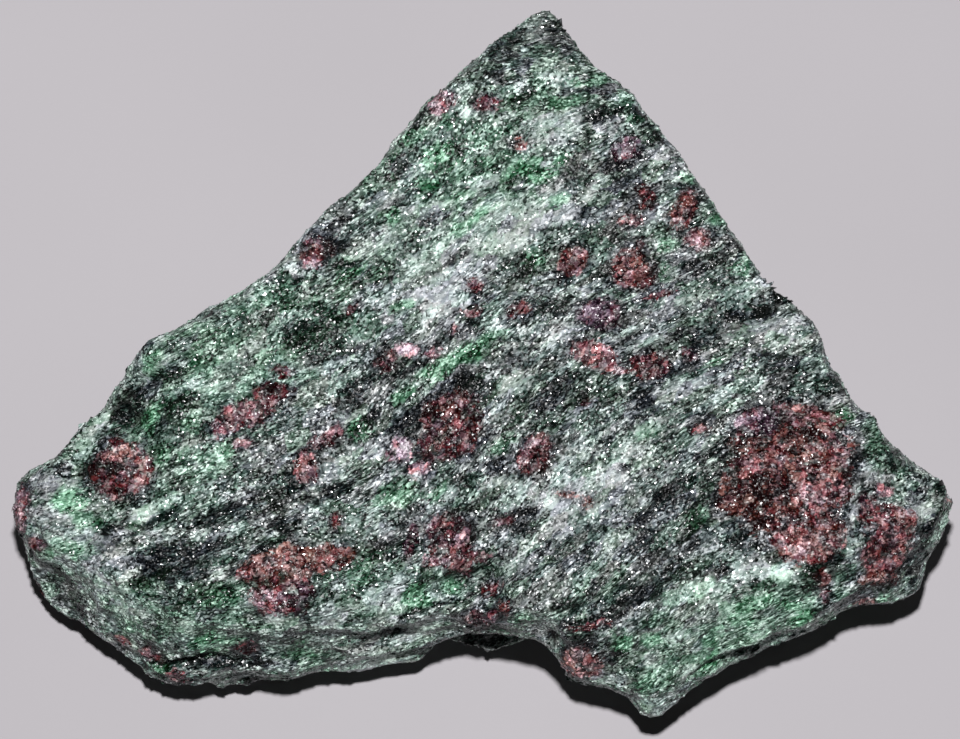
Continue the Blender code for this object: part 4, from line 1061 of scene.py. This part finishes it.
def noise_node(tree, place, scale, detail, roughness=0.5):
    inputs = {"Vector": place, "Scale": scale, "Detail": detail, "Roughness": roughness}
    return add(tree, "ShaderNodeTexNoise", inputs).outputs


def centred_vector(tree, colour, size):
    """A random colour as a vector around zero, times a size."""
    inputs = {0: colour, 1: (0.5, 0.5, 0.5)}
    node = add(tree, "ShaderNodeVectorMath", inputs, operation="SUBTRACT")
    inputs = {0: node.outputs[0], "Scale": size}
    return add(tree, "ShaderNodeVectorMath", inputs, operation="SCALE").outputs[0]


def vector_sum(tree, first, second):
    return add(tree, "ShaderNodeVectorMath", {0: first, 1: second}, operation="ADD").outputs[0]


def mix_colours(tree, share, first, second):
    node = add(tree, "ShaderNodeMix", {"Factor": share, "A": first, "B": second}, data_type="RGBA")
    return node.outputs["Result"]


def linear(colour):
    """A display colour, 0 to 255, as the light it stands for."""
    light = [
        ((part / 255 + 0.055) / 1.055) ** 2.4 if part > 10 else part / 255 / 12.92
        for part in colour
    ]
    return (*light, 1.0)


def ramp(tree, value, stops):
    """A colour ramp through display colours."""
    node = add(tree, "ShaderNodeValToRGB", {"Fac": value})
    stones = node.color_ramp.elements
    while len(stones) < len(stops):
        stones.new(0.5)
    for stone, (place, colour) in zip(stones, stops):
        stone.position = place
        stone.color = linear(colour)
    return node.outputs["Color"]


# The greys from black to white, and how far each mineral's red, green and blue stand off them
GREYS = [(0.00, 4), (0.20, 32), (0.40, 70), (0.60, 110), (0.80, 154), (1.00, 212)]
SLATE = (-6, -1, 6)
OLIVE = (-1, 1, -1)
EMERALD_GREEN = (-27, 18, -10)
GARNET_RED = (16, -10, -5)
GARNET_CRIMSON = (37, -19, -14)
GARNET_ORANGE = (29, -10, -18)
GARNET_PURPLE = (8, -10, 4)

# How far the fibres' threads are drawn out along the streaks
THREAD_STRETCH = 1 / 0.14


def tones(offset):
    """The greys with a mineral's own colour, which fades only where they are nearly black."""
    stops = []
    for place, grey in GREYS:
        strength = min(1.0, (grey + 16) / 40)
        stops.append((place, tuple(min(255, max(0, grey + strength * part)) for part in offset)))
    return stops


def map_range(tree, value, low, high, to_low=0.0, to_high=1.0):
    """The value moved from one range to another, and kept inside it."""
    inputs = {"Value": value, "From Min": low, "From Max": high, "To Min": to_low, "To Max": to_high}
    return add(tree, "ShaderNodeMapRange", inputs).outputs["Result"]


def spread(tree, base, parts):
    """A base value, with each part's distance from one half added, times its weight."""
    total = base
    for value, weight in parts:
        centred = math_node(tree, "SUBTRACT", value, 0.5)
        total = math_node(tree, "ADD", total, product(tree, centred, weight))
    return total


def share_left(tree, value, taken):
    """1 less the value times what it takes."""
    inputs = {0: value, 1: -taken, 2: 1.0}
    return add(tree, "ShaderNodeMath", inputs, operation="MULTIPLY_ADD").outputs[0]


def drawn_out(tree, place, stretch):
    """The place with its distance along the streaks divided."""
    inputs = {"Vector": place, "Scale": (1 / stretch, 1.0, 1.0)}
    return add(tree, "ShaderNodeMapping", inputs).outputs[0]


def crystals(tree, place, scale, stretch=1.0):
    """Cells like crystals, drawn out along the streaks, with three random numbers each."""
    inputs = {"Vector": drawn_out(tree, place, stretch), "Scale": scale}
    cells = add(tree, "ShaderNodeTexVoronoi", inputs, feature="F1")
    return add(tree, "ShaderNodeSeparateColor", {"Color": cells.outputs["Color"]}).outputs


def mineral_colour_group():
    """The colour of the rock from its mineral values, broken up into crystals, specks and threads, with
    painted glints and painted shade in pits.
    """
    group, given, put = new_group(
        "mineral colour",
        [
            ("Tone", "NodeSocketFloat", 0.5),
            ("Green", "NodeSocketFloat", 0.0),
            ("Garnet", "NodeSocketFloat", 0.0),
            ("Red Tone", "NodeSocketFloat", 0.4),
            ("Warm", "NodeSocketFloat", 0.5),
            ("Fibrous", "NodeSocketFloat", 0.5),
            ("Even", "NodeSocketFloat", 0.0),
            ("Flow", "NodeSocketVector", (0, 0, 0)),
            ("Speck Size", "NodeSocketFloat", 0.15),
            ("Speck Strength", "NodeSocketFloat", 0.8),
        ],
        [("Color", "NodeSocketColor")],
    )
    flow = given["Flow"]
    wobble = centred_vector(group, noise_node(group, flow, 1.7, 3.0, 0.65)["Color"], 0.9)
    ragged = vector_sum(group, flow, wobble)
    large = crystals(group, ragged, 0.85, 2.3)
    small = crystals(group, ragged, 2.3, 1.8)
    knots = crystals(group, ragged, 2.0)
    specks = crystals(group, flow, math_node(group, "DIVIDE", 1.0, given["Speck Size"]), 1.6)
    thread = noise_node(group, drawn_out(group, flow, THREAD_STRETCH), 7.0, 2.0, 0.6)["Fac"]
    rough = noise_node(group, flow, 0.9, 2.0)["Fac"]
    mottle = noise_node(group, ragged, 1.5, 2.0)["Fac"]

    calm = share_left(group, given["Even"], 0.75)
    speck = product(group, given["Speck Strength"], calm)
    speck = product(group, speck, map_range(group, rough, 0.36, 0.64, to_low=0.6, to_high=1.35))
    patchy = product(group, calm, 0.28)
    tone = spread(group, given["Tone"], [
        (large[0], patchy),
        (small[0], patchy),
        (specks[0], product(group, speck, share_left(group, given["Fibrous"], 0.4))),
        (thread, product(group, given["Fibrous"], 2.1)),
    ])
    red_tone = spread(group, given["Red Tone"], [
        (knots[0], 0.54),
        (large[0], 0.28),
        (specks[0], product(group, speck, 0.45)),
    ])

    # One speck in 25 is a painted glint, a white highlight in the colour, and one in 14 is painted pit
    # shade
    painted_glint = product(group, math_node(group, "GREATER_THAN", specks[1], 0.96), 0.30)
    painted_pit_shade = product(group, math_node(group, "GREATER_THAN", specks[2], 0.93), 0.34)
    tone = math_node(group, "ADD", tone, math_node(group, "SUBTRACT", painted_glint, painted_pit_shade), clamp=True)
    red_tone = math_node(group, "SUBTRACT", red_tone, painted_pit_shade)
    red_tone = math_node(group, "ADD", red_tone, product(group, painted_glint, 0.6), clamp=True)

    slate, olive, emerald = (ramp(group, tone, tones(own)) for own in (SLATE, OLIVE, EMERALD_GREEN))
    tint = map_range(group, spread(group, 0.5, [(large[2], 0.7), (small[2], 0.5)]), 0.0, 1.0)
    green = spread(group, given["Green"], [(large[1], 0.34), (small[1], 0.20)])
    matrix = mix_colours(group, tint, slate, olive)
    matrix = mix_colours(group, map_range(group, green, 0.0, 1.0), matrix, emerald)

    reds = (GARNET_RED, GARNET_CRIMSON, GARNET_ORANGE, GARNET_PURPLE)
    red, crimson, orange, purple = (ramp(group, red_tone, tones(own)) for own in reds)
    warm = spread(group, given["Warm"], [(knots[1], 0.45), (large[2], 0.2)])
    garnet = mix_colours(group, map_range(group, knots[2], 0.5, 0.8), red, crimson)
    garnet = mix_colours(group, map_range(group, warm, 0.5, 1.0), garnet, orange)
    garnet = mix_colours(group, map_range(group, warm, 0.5, 0.0), garnet, purple)

    edge = map_range(group, spread(group, given["Garnet"], [(small[1], 0.4)]), 0.38, 0.62)
    share = product(group, edge, map_range(group, mottle, 0.36, 0.52, to_low=0.55))
    colour = mix_colours(group, share, matrix, garnet)
    group.links.new(colour, put["Color"])
    return group


# Dull patches for each metre, and the roughness of the dullest crystal face
DULL_PATCHES = 420.0
DULLEST = 0.40


def glitter_group():
    """Tiny crystal faces, each with its own tilt and polish. Flat is 1 on broad faces, kept whole."""
    group, given, put = new_group(
        "glitter",
        [
            ("Face Size", "NodeSocketFloat", 0.15),
            ("Tilt", "NodeSocketFloat", 0.8),
            ("Polish", "NodeSocketFloat", 0.2),
            ("Flat", "NodeSocketFloat", 0.0),
        ],
        [("Normal", "NodeSocketVector"), ("Roughness", "NodeSocketFloat")],
    )
    place = add(group, "ShaderNodeTexCoord").outputs["Object"]
    scale = math_node(group, "DIVIDE", 1 / MM, given["Face Size"])
    faces = add(group, "ShaderNodeTexVoronoi", {"Vector": place, "Scale": scale}, feature="F1")
    tilt = product(group, given["Tilt"], share_left(group, given["Flat"], 0.9))
    lean = centred_vector(group, faces.outputs["Color"], tilt)
    normal = vector_sum(group, add(group, "ShaderNodeNewGeometry").outputs["Normal"], lean)
    normal = add(group, "ShaderNodeVectorMath", {0: normal}, operation="NORMALIZE")
    pick = add(group, "ShaderNodeSeparateColor", {"Color": faces.outputs["Color"]}).outputs[2]
    patch = noise_node(group, place, DULL_PATCHES, 2.0)["Fac"]
    dull = product(group, spread(group, pick, [(patch, 1.6)]), share_left(group, given["Flat"], 0.8))
    rough = map_range(group, dull, 0.0, 1.0, to_low=given["Polish"], to_high=DULLEST)
    group.links.new(normal.outputs[0], put["Normal"])
    group.links.new(rough, put["Roughness"])
    return group


# Specks of colour in skin and grains alike, and how rock bends and reflects light
SPECK_SIZE = 0.16
SPECK_STRENGTH = 0.75
ROCK_IOR = 1.6
ROCK_REFLECTION = 0.28


def rock_material(name, colour_group, glitter, face_size, tilt, polish):
    """Rock whose colour follows the mineral values stored on the mesh."""
    material = bpy.data.materials.new(name)
    material.use_nodes = True
    tree = material.node_tree
    shader = tree.nodes["Principled BSDF"]
    read = {
        key: add(tree, "ShaderNodeAttribute", attribute_name=key).outputs
        for key in (*MINERAL_VALUES, "flow", "polish")
    }
    minerals = {key.replace("_", " ").title(): read[key]["Fac"] for key in MINERAL_VALUES}
    minerals["Flow"] = read["flow"]["Vector"]
    minerals["Speck Size"] = SPECK_SIZE
    minerals["Speck Strength"] = SPECK_STRENGTH
    colour = add(tree, "ShaderNodeGroup", minerals, node_tree=colour_group)
    faces = {"Face Size": face_size, "Tilt": tilt, "Polish": polish, "Flat": read["polish"]["Fac"]}
    shine = add(tree, "ShaderNodeGroup", faces, node_tree=glitter)
    tree.links.new(colour.outputs["Color"], shader.inputs["Base Color"])
    tree.links.new(shine.outputs["Normal"], shader.inputs["Normal"])
    tree.links.new(shine.outputs["Roughness"], shader.inputs["Roughness"])
    shader.inputs["IOR"].default_value = ROCK_IOR
    shader.inputs["Specular IOR Level"].default_value = ROCK_REFLECTION
    return material


def floor_material():
    material = bpy.data.materials.new("pale_floor")
    material.use_nodes = True
    tree = material.node_tree
    shader = tree.nodes["Principled BSDF"]
    place = add(tree, "ShaderNodeTexCoord").outputs["Object"]
    colour = ramp(tree, noise_node(tree, place, 14.0, 3.0)["Fac"], FLOOR_GREYS)
    tree.links.new(colour, shader.inputs["Base Color"])
    shader.inputs["Roughness"].default_value = 0.85
    return material


# Scene

def make_floor():
    bpy.ops.mesh.primitive_plane_add(size=FLOOR_SIZE * MM, location=(0, 0, 0))
    floor = bpy.context.object
    floor.name = "floor"
    floor.data.materials.append(floor_material())


def aim(made, target):
    """Turns a light or a camera to a point."""
    away = made.location - Vector(target) * MM
    made.rotation_euler = away.to_track_quat("Z", "Y").to_euler()


def make_camera():
    camera = scene_object("camera", bpy.data.cameras.new("camera"))
    rise = math.radians(VIEW_ELEVATION)
    away = Vector((0, -math.cos(rise), math.sin(rise))) * VIEW_DISTANCE
    camera.location = (Vector(VIEW_TARGET) + away) * MM
    camera.data.lens = LENS
    camera.data.sensor_width = SENSOR
    camera.data.clip_start = 0.01
    camera.data.clip_end = 10.0
    aim(camera, VIEW_TARGET)
    bpy.context.scene.camera = camera


def light_scene():
    """A small bright lamp beside the camera, soft lights low around the stone and a dim even studio."""
    lamp = bpy.data.lights.new("key", "SPOT")
    lamp.energy = KEY_POWER
    lamp.color = KEY_COLOUR
    lamp.shadow_soft_size = KEY_RADIUS * MM
    lamp.spot_size = math.radians(KEY_CONE)
    lamp.spot_blend = 1.0
    key = scene_object("key", lamp)
    key.location = Vector(KEY_PLACE) * MM
    aim(key, KEY_TARGET)
    rise = math.radians(LOW_ELEVATION)
    for number, azimuth in enumerate(LOW_AZIMUTHS):
        turn = math.radians(azimuth)
        away = Vector((math.cos(turn) * math.cos(rise), math.sin(turn) * math.cos(rise), math.sin(rise)))
        light = bpy.data.lights.new(f"low soft {number + 1}", "AREA")
        light.shape = "DISK"
        light.size = LOW_SIZE * MM
        light.energy = LOW_POWER
        low = scene_object(light.name, light)
        low.location = away * LOW_DISTANCE * MM
        aim(low, VIEW_TARGET)
    world = bpy.data.worlds.new("studio")
    world.use_nodes = True
    background = world.node_tree.nodes["Background"]
    background.inputs["Color"].default_value = STUDIO_COLOUR
    background.inputs["Strength"].default_value = STUDIO_LIGHT
    bpy.context.scene.world = world
    bpy.context.scene.view_settings.view_transform = "Standard"


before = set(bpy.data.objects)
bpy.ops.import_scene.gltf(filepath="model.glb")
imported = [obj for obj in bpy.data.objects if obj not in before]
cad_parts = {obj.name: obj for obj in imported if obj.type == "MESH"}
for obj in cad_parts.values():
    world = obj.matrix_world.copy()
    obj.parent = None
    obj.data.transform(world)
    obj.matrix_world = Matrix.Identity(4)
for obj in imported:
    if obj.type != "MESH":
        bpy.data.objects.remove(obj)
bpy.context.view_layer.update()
make_camera()
make_floor()
light_scene()

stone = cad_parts["eclogite"]
lowest, highest = (np.array(corner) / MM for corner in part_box("eclogite"))
solid = BVHTree.FromObject(stone, bpy.context.evaluated_depsgraph_get())
rock = Rock(solid, Foliation())
colour_group = mineral_colour_group()
glitter = glitter_group()
skin_finish = rock_material("rock_skin", colour_group, glitter, face_size=0.15, tilt=0.7, polish=0.10)
grain_finish = rock_material("rock_grains", colour_group, glitter, face_size=0.16, tilt=0.5, polish=0.08)

skin = make_skin(stone, rock, lowest, highest)
skin.data.materials.clear()
skin.data.materials.append(skin_finish)
grains = make_grains(skin, rock, lowest, highest, grain_finish)
for piece in [skin, *grains]:
    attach(piece, "root")
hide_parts("eclogite")
